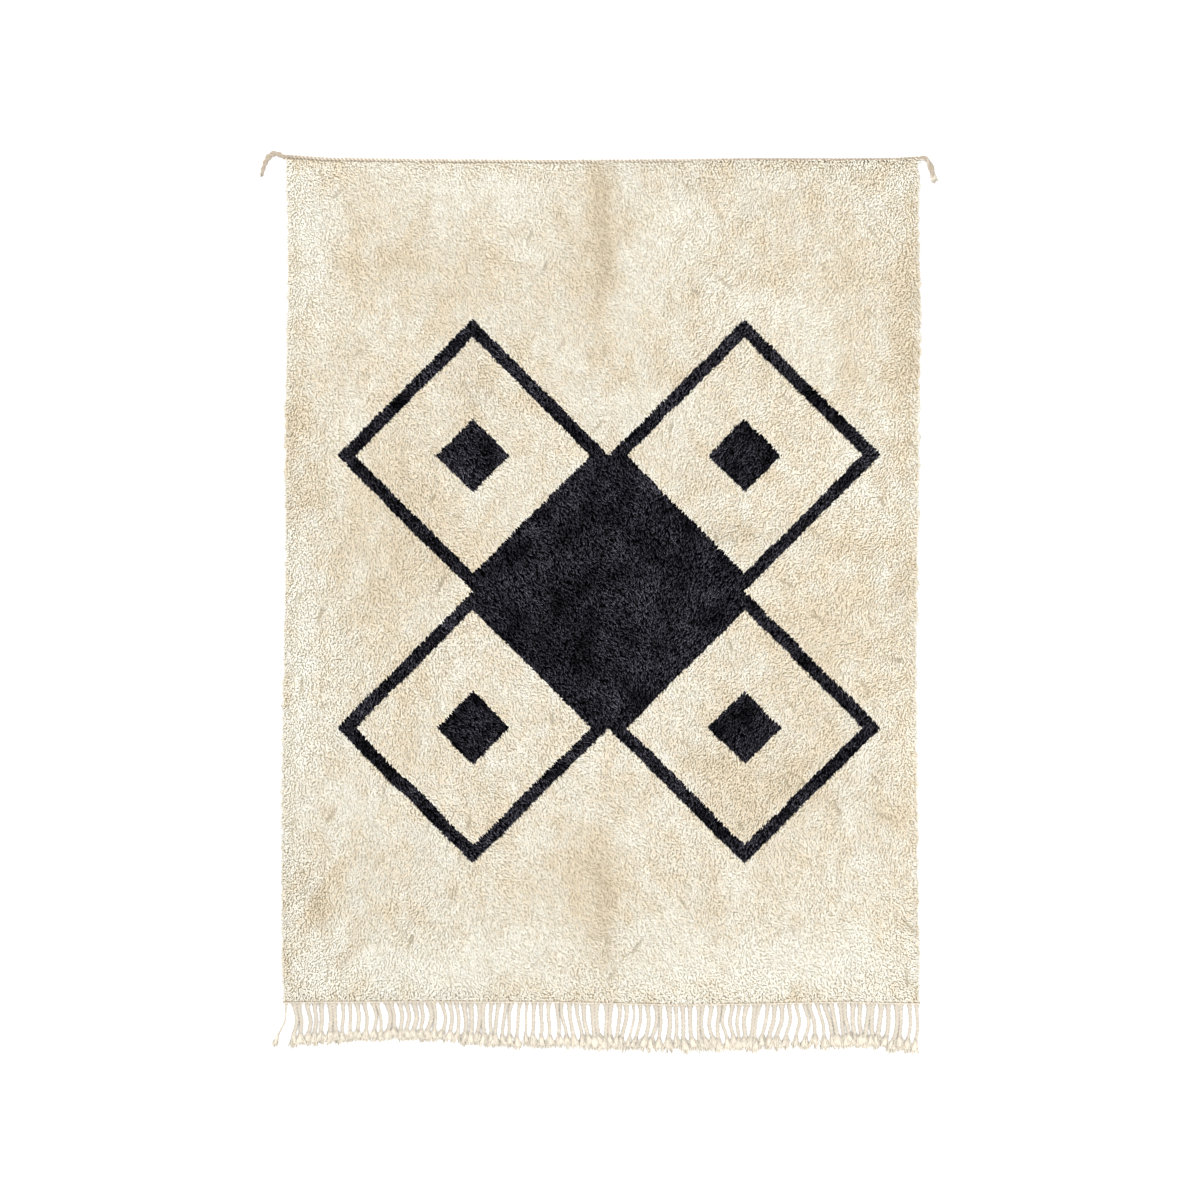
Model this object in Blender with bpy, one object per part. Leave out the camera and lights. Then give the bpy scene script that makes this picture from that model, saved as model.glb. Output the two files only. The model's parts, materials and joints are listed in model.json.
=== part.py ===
"""Hand-knotted wool rug: a thick pile field, a twined heading cord with two tails, and a warp fringe.

Metres, +Z up. The rug lies flat on z = 0 with its origin under the middle of the pile field. The heading
cord is at the +Y end, the fringe is at the -Y end, and X runs across.
"""

import math

import bmesh
import bpy
import numpy as np
from mathutils import Vector, geometry, noise

# Driving dimensions
FIELD_WIDTH = 1.806  # mean width over the pile
FIELD_LENGTH = 2.374  # pile, from the heading cord to the hem strip
PILE_HEIGHT = 0.0235  # mean height of the laid-over pile
PILE_LUMP = 0.0032  # how far the pile's top swells and sinks
LUMP_SPAN = 0.17  # distance over which it does so
SEAM_GAP = 0.0003  # clearance between neighbouring pieces

FIELD_COLUMNS = 38  # cells of the pile's top across the rug
FIELD_ROWS = 54  # and along it
RIM_PARTS = 4  # parts that each row's rim edge is cut into, for the locks
LOCK_REACH = 0.012  # mean length of a rim lock
LOCK_TIP = 0.42  # width of its tip, as a share of its root
LOCK_TIP_HEIGHT = 0.0045
LOCK_LEAN = 0.0045  # how far a tip leans along the rim
LOCK_UNEVEN = 0.30  # share by which the locks differ in length

HEADING_WIDTH = 0.013
HEADING_HEIGHT = 0.0095
HEADING_STITCH = 0.0135  # distance between the twined cord's humps
HEADING_RELIEF = 0.15  # how much a hollow is smaller than a hump

HEM_WIDTH = 0.010
HEM_HEIGHT = 0.0060
STRAND_COUNT = 90
STRAND_WIDTH = 0.0098
STRAND_HEIGHT = 0.0080
ROOT_SHIFT = 0.0022  # how far a root strays from even spacing
GROUP_SWAY = 0.0160  # how far neighbouring strands drift aside together
LONE_SWAY = 0.0026  # how far each strays by itself
GROUP_SPAN = 12.0  # strands over which a drift comes and goes
REACH_UNEVEN = 0.05  # share by which neighbouring strands differ in length

# Side edges' distance from the middle line, along the rug from the heading (0) to the hem (1)
OUTLINE = np.array(
    [
        (0.00, 0.900, 0.903),
        (0.12, 0.894, 0.907),
        (0.18, 0.896, 0.911),
        (0.29, 0.903, 0.906),
        (0.43, 0.901, 0.903),
        (0.60, 0.907, 0.897),
        (0.75, 0.912, 0.900),
        (0.96, 0.911, 0.908),
        (1.00, 0.906, 0.906),
    ],
    dtype=[("along", float), ("left", float), ("right", float)],
)

# How far the two ends stand out beyond straight lines, across the rug from left (0) to right (1)
ENDS = np.array(
    [
        (0.00, 0.010, 0.000),
        (0.06, 0.003, -0.002),
        (0.20, -0.001, -0.003),
        (0.42, -0.004, -0.002),
        (0.62, -0.002, 0.006),
        (0.75, 0.001, 0.003),
        (0.88, 0.000, -0.002),
        (0.97, 0.001, 0.002),
        (1.00, 0.005, 0.003),
    ],
    dtype=[("across", float), ("heading", float), ("hem", float)],
)

# The pile rounds over towards its rim: distance in from the edge, and the share of its height there
RIM = np.array(
    [(0.000, 0.62), (0.008, 0.83), (0.024, 1.00)],
    dtype=[("inset", float), ("height", float)],
)

# Length of the fringe from the hem strip, across the rug from left (0) to right (1)
FRINGE_REACH = np.array(
    [
        (0.00, 0.124),
        (0.06, 0.118),
        (0.17, 0.106),
        (0.25, 0.110),
        (0.33, 0.128),
        (0.60, 0.131),
        (0.80, 0.131),
        (0.93, 0.126),
        (1.00, 0.140),
    ],
    dtype=[("across", float), ("reach", float)],
)

# One fringe strand: shares of its length, of the strand's width and height, and the twist in degrees
STRAND_SECTIONS = np.array(
    [
        (0.13, 1.00, 1.00, 36),
        (0.27, 0.96, 1.00, 72),
        (0.41, 1.00, 1.00, 108),
        (0.55, 0.96, 1.00, 144),
        (0.67, 0.90, 0.90, 180),
        (0.75, 1.42, 1.35, 180),
        (0.83, 1.06, 0.90, 180),
        (1.00, 1.50, 0.45, 180),
    ],
    dtype=[("along", float), ("width", float), ("height", float), ("turn", float)],
)

# Strands that came loose from the rest: place in the row, share of the width, and sideways drift
LOOSE_STRANDS = np.array(
    [(0, 0.50, -0.034), (34, 0.62, 0.004), (49, 0.55, 0.003)],
    dtype=[("strand", int), ("width", float), ("drift", float)],
)

# Each tail's Bezier curve over the floor: root, two handles and tip, from the middle of the heading's end
TAIL_CURVES = {
    "left": ((0.0, 0.0), (-0.030, 0.022), (-0.052, -0.005), (-0.068, -0.058)),
    "right": ((0.0, 0.0), (0.026, 0.004), (0.030, -0.022), (0.044, -0.062)),
}

# The tails' sections along their length: the left one tapers, and the right one ends in a loose brush
TAIL_SECTIONS = np.array(
    [(0.0, 0.0125, 0.0125, 0.0095), (0.5, 0.0150, 0.0140, 0.0100), (1.0, 0.0060, 0.0210, 0.0045)],
    dtype=[("along", float), ("left_width", float), ("right_width", float), ("height", float)],
)
TAIL_STEPS = 9
TAIL_TWIST = 36  # degrees from one step to the next

# Colour, roughness and metallic value of each piece
FINISHES = {
    "pile_field": ((0.82, 0.75, 0.61), 0.95, 0.0),
    "heading_cord": ((0.69, 0.61, 0.47), 0.92, 0.0),
    "warp_fringe": ((0.76, 0.67, 0.55), 0.90, 0.0),
}

UP = Vector((0.0, 0.0, 1.0))
ALONG_X = Vector((1.0, 0.0, 0.0))


def read(table, column, share):
    """A table's column at a share of the way, straight between its rows."""
    return float(np.interp(share, table[table.dtype.names[0]], table[column]))


def new_collection(name):
    collection = bpy.data.collections.new(name)
    bpy.context.scene.collection.children.link(collection)
    return collection


def new_material(name):
    color, roughness, metallic = FINISHES[name]
    material = bpy.data.materials.new(name)
    material.use_nodes = True
    shader = material.node_tree.nodes["Principled BSDF"]
    shader.inputs["Base Color"].default_value = (*color, 1.0)
    shader.inputs["Roughness"].default_value = roughness
    shader.inputs["Metallic"].default_value = metallic
    material.diffuse_color = (*color, 1.0)
    return material


def new_object(name, bm, collection):
    bmesh.ops.recalc_face_normals(bm, faces=bm.faces)
    twisted = [face for face in bm.faces if len(face.verts) == 4]
    bmesh.ops.triangulate(bm, faces=twisted, quad_method="SHORT_EDGE")
    mesh = bpy.data.meshes.new(name)
    bm.to_mesh(mesh)
    bm.free()
    mesh.materials.append(new_material(name))
    piece = bpy.data.objects.new(name, mesh)
    collection.objects.link(piece)
    return piece


def draw_out(bm, face, rings):
    """Pulls a four-sided face out through rings of four points. The first ring lies on the face."""
    corners = [min(range(4), key=lambda corner: (vert.co - rings[0][corner]).length) for vert in face.verts]
    for ring in rings[1:]:
        face = bmesh.ops.extrude_discrete_faces(bm, faces=[face])["faces"][0]
        for vert, corner in zip(face.verts, corners):
            vert.co = ring[corner]


def section(centre, direction, width, height, turn=0.0):
    """Four points round a strand that rests on the floor, turned about the strand's own direction."""
    side = Vector((direction.y, -direction.x, 0.0)).normalized()
    middle = Vector((centre.x, centre.y, 0.0))
    ring = []
    for corner in (225.0, 315.0, 45.0, 135.0):
        angle = math.radians(corner + turn)
        across = side * math.cos(angle) * width * math.sqrt(0.5)
        ring.append(middle + across + UP * math.sin(angle) * height * math.sqrt(0.5))
    floor = min(point.z for point in ring)
    return [point - UP * floor for point in ring]


# The rug's outline


def rim_spaced(cells, length):
    """Places from -1 to 1 over a length: at the rim's own insets near both ends, and even between them."""
    rim = 2.0 * RIM["inset"] / length
    inner = np.linspace(-1.0 + rim[-1], 1.0 - rim[-1], cells + 3 - 2 * len(RIM))
    return np.concatenate([-1.0 + rim[:-1], inner, 1.0 - rim[-2::-1]])


def field_point(place_x, place_y):
    """Maps a place on the field, -1 to 1 each way, to the rug's uneven outline less its locks."""
    across = (place_x + 1.0) / 2.0
    low = -FIELD_LENGTH / 2 - read(ENDS, "hem", across)
    high = FIELD_LENGTH / 2 + read(ENDS, "heading", across)
    y = low + (high - low) * (place_y + 1.0) / 2.0
    along = 0.5 - y / FIELD_LENGTH
    left = LOCK_REACH - read(OUTLINE, "left", along)
    right = read(OUTLINE, "right", along) - LOCK_REACH
    return left + (right - left) * across, y


def seam_line(place_y):
    """X and Y of the pile's corners along one end, which the strip beside it follows."""
    corners = [field_point(place_x, place_y) for place_x in rim_spaced(FIELD_COLUMNS, FIELD_WIDTH)]
    return np.array(corners).T


def pile_height(place_x, place_y, x, y):
    """Height of the pile's top: rounded over at the rim, and lumpy inside it."""
    inset = min((1.0 - abs(place_x)) * FIELD_WIDTH / 2, (1.0 - abs(place_y)) * FIELD_LENGTH / 2)
    broad = noise.noise(Vector((x, y, 0.0)) / LUMP_SPAN)
    small = 0.5 * noise.noise(Vector((x, y, LUMP_SPAN)) / LUMP_SPAN * 2.3)
    inside = min(1.0, inset / RIM["inset"][-1])
    return PILE_HEIGHT * read(RIM, "height", inset) + PILE_LUMP * (broad + small) * inside


# The pile field


def pile_top(bm):
    """The pile's top surface: a grid laid on the outline and raised into lumps."""
    bmesh.ops.create_grid(bm, x_segments=FIELD_COLUMNS, y_segments=FIELD_ROWS, size=1.0)
    columns = rim_spaced(FIELD_COLUMNS, FIELD_WIDTH)
    rows = rim_spaced(FIELD_ROWS, FIELD_LENGTH)
    for vert in bm.verts:
        place_x = columns[round((vert.co.x + 1.0) / 2.0 * FIELD_COLUMNS)]
        place_y = rows[round((vert.co.y + 1.0) / 2.0 * FIELD_ROWS)]
        x, y = field_point(place_x, place_y)
        vert.co = Vector((x, y, pile_height(place_x, place_y, x, y)))


def runs_along(edge):
    """True where an edge runs along the rug and not across it."""
    step = edge.verts[0].co - edge.verts[1].co
    return abs(step.y) > abs(step.x)


def cut_rim(bm):
    """Cuts the rim's long edges on both sides into parts and returns these. The corners stay whole."""
    shortest = FIELD_LENGTH / FIELD_ROWS / 2
    long_sides = [edge for edge in bm.edges if edge.is_boundary and runs_along(edge)]
    edges = [edge for edge in long_sides if edge.calc_length() > shortest]
    parts = bmesh.ops.subdivide_edges(bm, edges=edges, cuts=RIM_PARTS - 1)["geom_split"]
    return [part for part in parts if isinstance(part, bmesh.types.BMEdge)]


def close_underside(bm):
    """Drops the rim straight down to the floor and closes the flat underside."""
    rim = [edge for edge in bm.edges if edge.is_boundary]
    dropped = bmesh.ops.extrude_edge_only(bm, edges=rim)["geom"]
    for part in dropped:
        if isinstance(part, bmesh.types.BMVert):
            part.co.z = 0.0
    floor_edges = [part for part in dropped if isinstance(part, bmesh.types.BMEdge) and part.is_boundary]
    bmesh.ops.edgeloop_fill(bm, edges=floor_edges)


def rim_faces(parts, outward):
    """The upright faces under the rim's cut parts on one side, in order along the rug."""
    upright = [face for part in parts for face in part.link_faces if face.normal.x * outward > 0.9]
    return sorted(upright, key=lambda face: face.calc_center_median().y)


def rim_lock(bm, face, number, outward):
    """Draws one face of the rim out into a lock that droops to the floor and leans a little."""
    centre = face.calc_center_median()
    reach = LOCK_REACH * (1.0 + LOCK_UNEVEN * noise.noise(Vector((number * 0.73, outward, 0.0))))
    lean = LOCK_LEAN * noise.noise(Vector((number * 0.41, outward, 5.0)))
    root = [vert.co.copy() for vert in face.verts]
    tip = []
    for point in root:
        along = centre.y + (point.y - centre.y) * LOCK_TIP + lean
        tip.append(Vector((point.x + outward * reach, along, min(point.z, LOCK_TIP_HEIGHT))))
    draw_out(bm, face, [root, tip])


def build_pile_field(collection):
    bm = bmesh.new()
    pile_top(bm)
    parts = cut_rim(bm)
    close_underside(bm)
    bmesh.ops.recalc_face_normals(bm, faces=bm.faces)
    for outward in (-1.0, 1.0):
        for number, face in enumerate(rim_faces(parts, outward)):
            if number % 2:
                rim_lock(bm, face, number, outward)
    return new_object("pile_field", bm, collection)


# The two end strips


def strip_section(x, inner_y, outward, width, height):
    """Four points of a strip's section at x. Its inner side stays put, whatever its width."""
    outer_y = inner_y + outward * width
    low, high = min(inner_y, outer_y), max(inner_y, outer_y)
    return [Vector((x, y, z)) for y, z in ((low, 0.0), (high, 0.0), (high, height), (low, height))]


def end_face(bm, direction):
    """The face that lies furthest out in a direction and looks that way."""
    bm.normal_update()
    facing = [face for face in bm.faces if face.normal.dot(direction) > 0.9]
    return max(facing, key=lambda face: face.calc_center_median().dot(direction))


def draw_strip(sections):
    """A long strip, started from a cube and drawn out from section to section."""
    bm = bmesh.new()
    bmesh.ops.create_cube(bm, size=1.0)
    corners = {(False, False): 0, (True, False): 1, (True, True): 2, (False, True): 3}
    for vert in bm.verts:
        nearest = sections[0] if vert.co.x < 0.0 else sections[1]
        vert.co = nearest[corners[vert.co.y > 0.0, vert.co.z > 0.0]]
    draw_out(bm, end_face(bm, ALONG_X), sections[1:])
    return bm


# The heading cord and its tails


def heading_sections():
    """Sections of the twined band: humps and hollows by turns."""
    seam_x, seam_y = seam_line(1.0)
    left, right = -FIELD_WIDTH / 2, FIELD_WIDTH / 2
    count = 2 * round((right - left) / HEADING_STITCH)
    sections = []
    for number in range(count + 1):
        x = left + (right - left) * number / count
        share = 1.0 - HEADING_RELIEF * (number % 2)
        inner = float(np.interp(x, seam_x, seam_y)) + SEAM_GAP
        sections.append(strip_section(x, inner, 1.0, HEADING_WIDTH * share, HEADING_HEIGHT * share))
    return sections


def tail_sections(side, face):
    """Sections of a twisted tail, which leaves the heading's end and curves down beside the rug."""
    root = face.calc_center_median()
    curve = [Vector((*point, 0.0)) for point in TAIL_CURVES[side]]
    points = geometry.interpolate_bezier(*curve, TAIL_STEPS + 1)
    sections = [section(root, face.normal, HEADING_WIDTH, HEADING_HEIGHT)]
    for step in range(1, TAIL_STEPS + 1):
        along = step / TAIL_STEPS
        direction = points[min(step + 1, TAIL_STEPS)] - points[step - 1]
        width = read(TAIL_SECTIONS, side + "_width", along)
        height = read(TAIL_SECTIONS, "height", along)
        sections.append(section(root + points[step], direction, width, height, step * TAIL_TWIST))
    return sections


def build_heading_cord(collection):
    bm = draw_strip(heading_sections())
    for side, direction in (("left", -ALONG_X), ("right", ALONG_X)):
        face = end_face(bm, direction)
        draw_out(bm, face, tail_sections(side, face))
    return new_object("heading_cord", bm, collection)


# The hem strip and its fringe


def loose_strand(number, column, otherwise):
    """A value from the table of loose strands, or the value that the other strands have."""
    rows = LOOSE_STRANDS[LOOSE_STRANDS["strand"] == number]
    return float(rows[column][0]) if len(rows) else otherwise


def strand_root(number):
    """X where a strand leaves the hem strip, and its width there."""
    pitch = FIELD_WIDTH / STRAND_COUNT
    shift = ROOT_SHIFT * noise.noise(Vector((number * 1.37, 0.0, 0.0)))
    x = -FIELD_WIDTH / 2 + pitch * (number + 0.5) + shift
    return x, STRAND_WIDTH * loose_strand(number, "width", 1.0)


def strand_sway(number, along):
    """How far a strand has drifted aside at a share of its length."""
    group = number / GROUP_SPAN
    drift = GROUP_SWAY * noise.noise(Vector((group, 7.0, 0.0))) * along
    bend = GROUP_SWAY * 0.5 * noise.noise(Vector((group, along * 1.6, 11.0))) * math.sin(math.pi * along)
    alone = LONE_SWAY * noise.noise(Vector((number * 1.91, along * 1.3, 17.0))) * along
    return drift + bend + alone + loose_strand(number, "drift", 0.0) * along


def strand_reach(number, root_x):
    """A strand's length: the fringe's own at that place, a little more or less."""
    reach = read(FRINGE_REACH, "reach", 0.5 + root_x / FIELD_WIDTH)
    return reach * (1.0 + REACH_UNEVEN * noise.noise(Vector((number * 0.83, 23.0, 0.0))))


def strand_sections(number, face):
    """Sections of one fringe strand: a twisted cord, a knot and a brush end."""
    root_x, width = strand_root(number)
    root = face.calc_center_median()
    reach = strand_reach(number, root_x)
    shares = [0.0, *STRAND_SECTIONS["along"]]
    points = [Vector((root_x + strand_sway(number, share), root.y - reach * share, 0.0)) for share in shares]
    sections = [section(root, face.normal, width, HEM_HEIGHT)]
    for step, row in enumerate(STRAND_SECTIONS, 1):
        direction = points[min(step + 1, len(points) - 1)] - points[step - 1]
        height = STRAND_HEIGHT * row["height"]
        sections.append(section(points[step], direction, width * row["width"], height, row["turn"]))
    return sections


def hem_sections():
    """Sections of the flat-woven hem strip, one at each side of every strand's root."""
    seam_x, seam_y = seam_line(-1.0)
    places = [-FIELD_WIDTH / 2]
    for number in range(STRAND_COUNT):
        x, width = strand_root(number)
        places += [x - width / 2, x + width / 2]
    places.append(FIELD_WIDTH / 2)
    inner = np.interp(places, seam_x, seam_y) - SEAM_GAP
    return [strip_section(x, float(y), -1.0, HEM_WIDTH, HEM_HEIGHT) for x, y in zip(places, inner)]


def build_warp_fringe(collection):
    bm = draw_strip(hem_sections())
    bm.normal_update()
    front = [face for face in bm.faces if face.normal.y < -0.9]
    front.sort(key=lambda face: face.calc_center_median().x)
    for number, face in enumerate(front[1::2]):
        draw_out(bm, face, strand_sections(number, face))
    return new_object("warp_fringe", bm, collection)


def main():
    for old in list(bpy.data.objects):
        bpy.data.objects.remove(old)
    collection = new_collection("beni_ourain_rug")
    build_pile_field(collection)
    build_heading_cord(collection)
    build_warp_fringe(collection)


main()
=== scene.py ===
# %% [markdown]
# # A hand-knotted wool rug, laid flat
# The rug is knotted on a loom: thick wool yarn is tied row by row on the warp, cut to about two
# centimetres, and laid over by treading. A twined cord closes the top end and runs out into two tails,
# and the warp hangs out of the bottom end as knotted fringe. Black knots among the cream ones draw the
# figure, so it has no relief of its own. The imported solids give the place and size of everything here.

# %% Load the frame
import json
import math
from functools import partial

import bmesh
import bpy
import numpy as np
from mathutils import Euler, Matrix, Vector, geometry, noise

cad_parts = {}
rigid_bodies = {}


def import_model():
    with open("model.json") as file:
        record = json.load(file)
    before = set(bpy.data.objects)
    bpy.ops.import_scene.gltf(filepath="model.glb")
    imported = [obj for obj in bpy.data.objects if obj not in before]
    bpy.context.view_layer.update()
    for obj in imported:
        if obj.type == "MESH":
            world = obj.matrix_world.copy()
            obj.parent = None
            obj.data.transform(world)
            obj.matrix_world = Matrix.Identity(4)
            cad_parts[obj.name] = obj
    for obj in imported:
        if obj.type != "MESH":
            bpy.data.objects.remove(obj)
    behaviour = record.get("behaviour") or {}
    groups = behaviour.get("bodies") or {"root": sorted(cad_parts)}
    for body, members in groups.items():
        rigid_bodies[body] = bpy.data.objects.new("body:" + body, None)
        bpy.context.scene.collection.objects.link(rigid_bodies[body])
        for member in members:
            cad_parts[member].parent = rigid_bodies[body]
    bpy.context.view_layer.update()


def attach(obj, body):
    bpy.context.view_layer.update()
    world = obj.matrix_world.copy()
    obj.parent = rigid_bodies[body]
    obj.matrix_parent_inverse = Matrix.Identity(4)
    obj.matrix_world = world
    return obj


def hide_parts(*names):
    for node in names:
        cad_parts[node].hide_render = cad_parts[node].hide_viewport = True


for leftover in list(bpy.data.objects):
    bpy.data.objects.remove(leftover)
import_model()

# %% [markdown]
# ## The outline
# A hand-made rug is never a true rectangle. Its sides wander by a centimetre and its ends bulge, so the
# outline is a short table, read between its rows. These are the same sizes as those of the solids, which
# lets each piece lie on the solid that it stands for. A place on the rug is a pair from -1 to 1. A noise
# is a pair too: the width of its lumps in metres, and a layer, because each layer differs.

# %% Sizes and outline of the pile field
FIELD_WIDTH = 1.806
FIELD_LENGTH = 2.374
PILE_HEIGHT = 0.0235
PILE_LUMP = 0.0032
LUMPS = (0.17, 0.0)
FINE_LUMPS = (0.17 / 2.3, 2.3)
FINE_LUMP_SHARE = 0.5
LOCK_REACH = 0.012
FLOOR_GAP = 0.0003


def columns_of(names):
    """The layout of a table, with one column of numbers for each name."""
    return np.dtype([(name, float) for name in names.split()])


def table(names, *rows):
    """A table of numbers under named columns."""
    return np.array(list(rows), dtype=columns_of(names))


def filled(layout, count, **columns):
    """A long table, filled column by column."""
    rows = np.zeros(count, dtype=layout)
    for name, values in columns.items():
        rows[name] = values
    return rows


def read(rows, column, share):
    """A table's column at one place or at many, straight between its rows."""
    return np.interp(share, rows[rows.dtype.names[0]], rows[column])


OUTLINE = table(
    "along left right",
    (0.00, 0.900, 0.903),
    (0.12, 0.894, 0.907),
    (0.18, 0.896, 0.911),
    (0.29, 0.903, 0.906),
    (0.43, 0.901, 0.903),
    (0.60, 0.907, 0.897),
    (0.75, 0.912, 0.900),
    (0.96, 0.911, 0.908),
    (1.00, 0.906, 0.906),
)
ENDS = table(
    "across heading hem",
    (0.00, 0.010, 0.000),
    (0.06, 0.003, -0.002),
    (0.20, -0.001, -0.003),
    (0.42, -0.004, -0.002),
    (0.62, -0.002, 0.006),
    (0.75, 0.001, 0.003),
    (0.88, 0.000, -0.002),
    (0.97, 0.001, 0.002),
    (1.00, 0.005, 0.003),
)
RIM = table("inset height", (0.000, 0.62), (0.008, 0.83), (0.024, 1.00))


def field_place(place_x, place_y):
    """X and Y of places on the pile field, which run from -1 to 1 each way."""
    across = (place_x + 1.0) / 2.0
    low = -FIELD_LENGTH / 2 - read(ENDS, "hem", across)
    high = FIELD_LENGTH / 2 + read(ENDS, "heading", across)
    y = low + (high - low) * (place_y + 1.0) / 2.0
    along = 0.5 - y / FIELD_LENGTH
    left = LOCK_REACH - read(OUTLINE, "left", along)
    right = read(OUTLINE, "right", along) - LOCK_REACH
    return left + (right - left) * across, y


def noise_at(x, y, span, layer):
    """Smooth noise at many places."""
    return np.array([noise.noise(Vector((px / span, py / span, layer))) for px, py in zip(x, y)])


def insets(place_x, place_y):
    """How far places are in from the field's sides and from its ends."""
    return (1.0 - np.abs(place_x)) * FIELD_WIDTH / 2, (1.0 - np.abs(place_y)) * FIELD_LENGTH / 2


def pile_top(place_x, place_y, x, y):
    """Height of the trodden pile: rounded over at the rim, and lumpy inside it."""
    inset = np.minimum(*insets(place_x, place_y))
    lumps = noise_at(x, y, *LUMPS) + FINE_LUMP_SHARE * noise_at(x, y, *FINE_LUMPS)
    inside = np.minimum(1.0, inset / RIM["inset"][-1])
    return PILE_HEIGHT * read(RIM, "height", inset) + PILE_LUMP * lumps * inside


corner_x, corner_y = field_place(np.array([-1.0, 1.0]), np.array([1.0, -1.0]))
print("field corners in mm", np.round(1000 * corner_x), np.round(1000 * corner_y))

# %% [markdown]
# ## Working by hand in code
# Each new shape starts from a primitive and is shaped in edit mode, as a modeller would do it. Operators
# act on whatever is selected, so the selection is emptied first, and points are picked by their place.
# A shape that repeats is modelled once, read as points and triangles, and copied with arrays.


# %% Helpers for the hand modelling
def put_down_all():
    """Leaves nothing selected, in object mode."""
    if bpy.context.object and bpy.context.object.mode != "OBJECT":
        bpy.ops.object.mode_set(mode="OBJECT")
    bpy.ops.object.select_all(action="DESELECT")


def take_up(piece):
    """Selects one piece and no other."""
    put_down_all()
    piece.select_set(True)
    bpy.context.view_layer.objects.active = piece


def edit_all():
    """Opens the piece in edit mode, with all of it selected."""
    bpy.ops.object.mode_set(mode="EDIT")
    bpy.ops.mesh.select_all(action="SELECT")


def face_outwards():
    """Turns all faces of the open piece outwards, and leaves edit mode."""
    bpy.ops.mesh.select_all(action="SELECT")
    bpy.ops.mesh.normals_make_consistent(inside=False)
    bpy.ops.object.mode_set(mode="OBJECT")


def pick(wanted):
    """In edit mode, selects the points whose place is wanted, and no others."""
    mesh = bpy.context.edit_object.data
    work = bmesh.from_edit_mesh(mesh)
    work.select_mode = {"VERT"}
    for vert in work.verts:
        vert.select_set(wanted(vert.co))
    work.select_flush_mode()
    bmesh.update_edit_mesh(mesh)


def points_of(mesh):
    """The places of a mesh's points, one row each."""
    places = np.empty(3 * len(mesh.vertices))
    mesh.vertices.foreach_get("co", places)
    return places.reshape(-1, 3)


def read_model(model):
    """A hand-made model's points and triangles, after which the model is thrown away."""
    take_up(model)
    bpy.ops.object.transform_apply(location=True, rotation=True, scale=True)
    edit_all()
    bpy.ops.mesh.quads_convert_to_tris(quad_method="SHORTEST_DIAGONAL")
    bpy.ops.object.mode_set(mode="OBJECT")
    points = points_of(model.data)
    triangles = np.empty(3 * len(model.data.polygons), dtype=int)
    model.data.polygons.foreach_get("vertices", triangles)
    bpy.data.objects.remove(model)
    return points, triangles.reshape(-1, 3)


def store(mesh, name, values):
    """Stores a number or a vector on each point of a mesh, for a material to read."""
    kind, key = ("FLOAT", "value") if np.ndim(values) == 1 else ("FLOAT_VECTOR", "vector")
    mesh.attributes.new(name, kind, "POINT").data.foreach_set(key, np.ravel(values))


def new_mesh_piece(name, points, triangles, attributes, finish):
    """One piece from points and triangles, with numbers or vectors stored on its points."""
    mesh = bpy.data.meshes.new(name)
    mesh.vertices.add(len(points))
    mesh.vertices.foreach_set("co", np.ravel(points))
    mesh.loops.add(3 * len(triangles))
    mesh.loops.foreach_set("vertex_index", np.ravel(triangles))
    mesh.polygons.add(len(triangles))
    mesh.polygons.foreach_set("loop_start", np.arange(0, 3 * len(triangles), 3))
    for attribute_name, values in attributes.items():
        store(mesh, attribute_name, values)
    mesh.update(calc_edges=True)
    mesh.shade_smooth()
    mesh.materials.append(finish)
    piece = bpy.data.objects.new(name, mesh)
    bpy.context.scene.collection.objects.link(piece)
    return piece


def copies_of(triangles, corners, count):
    """The triangles of many copies of a model, whose points follow each other copy by copy."""
    first = corners * np.arange(count)
    return (triangles[None, :, :] + first[:, None, None]).reshape(-1, 3)
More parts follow.
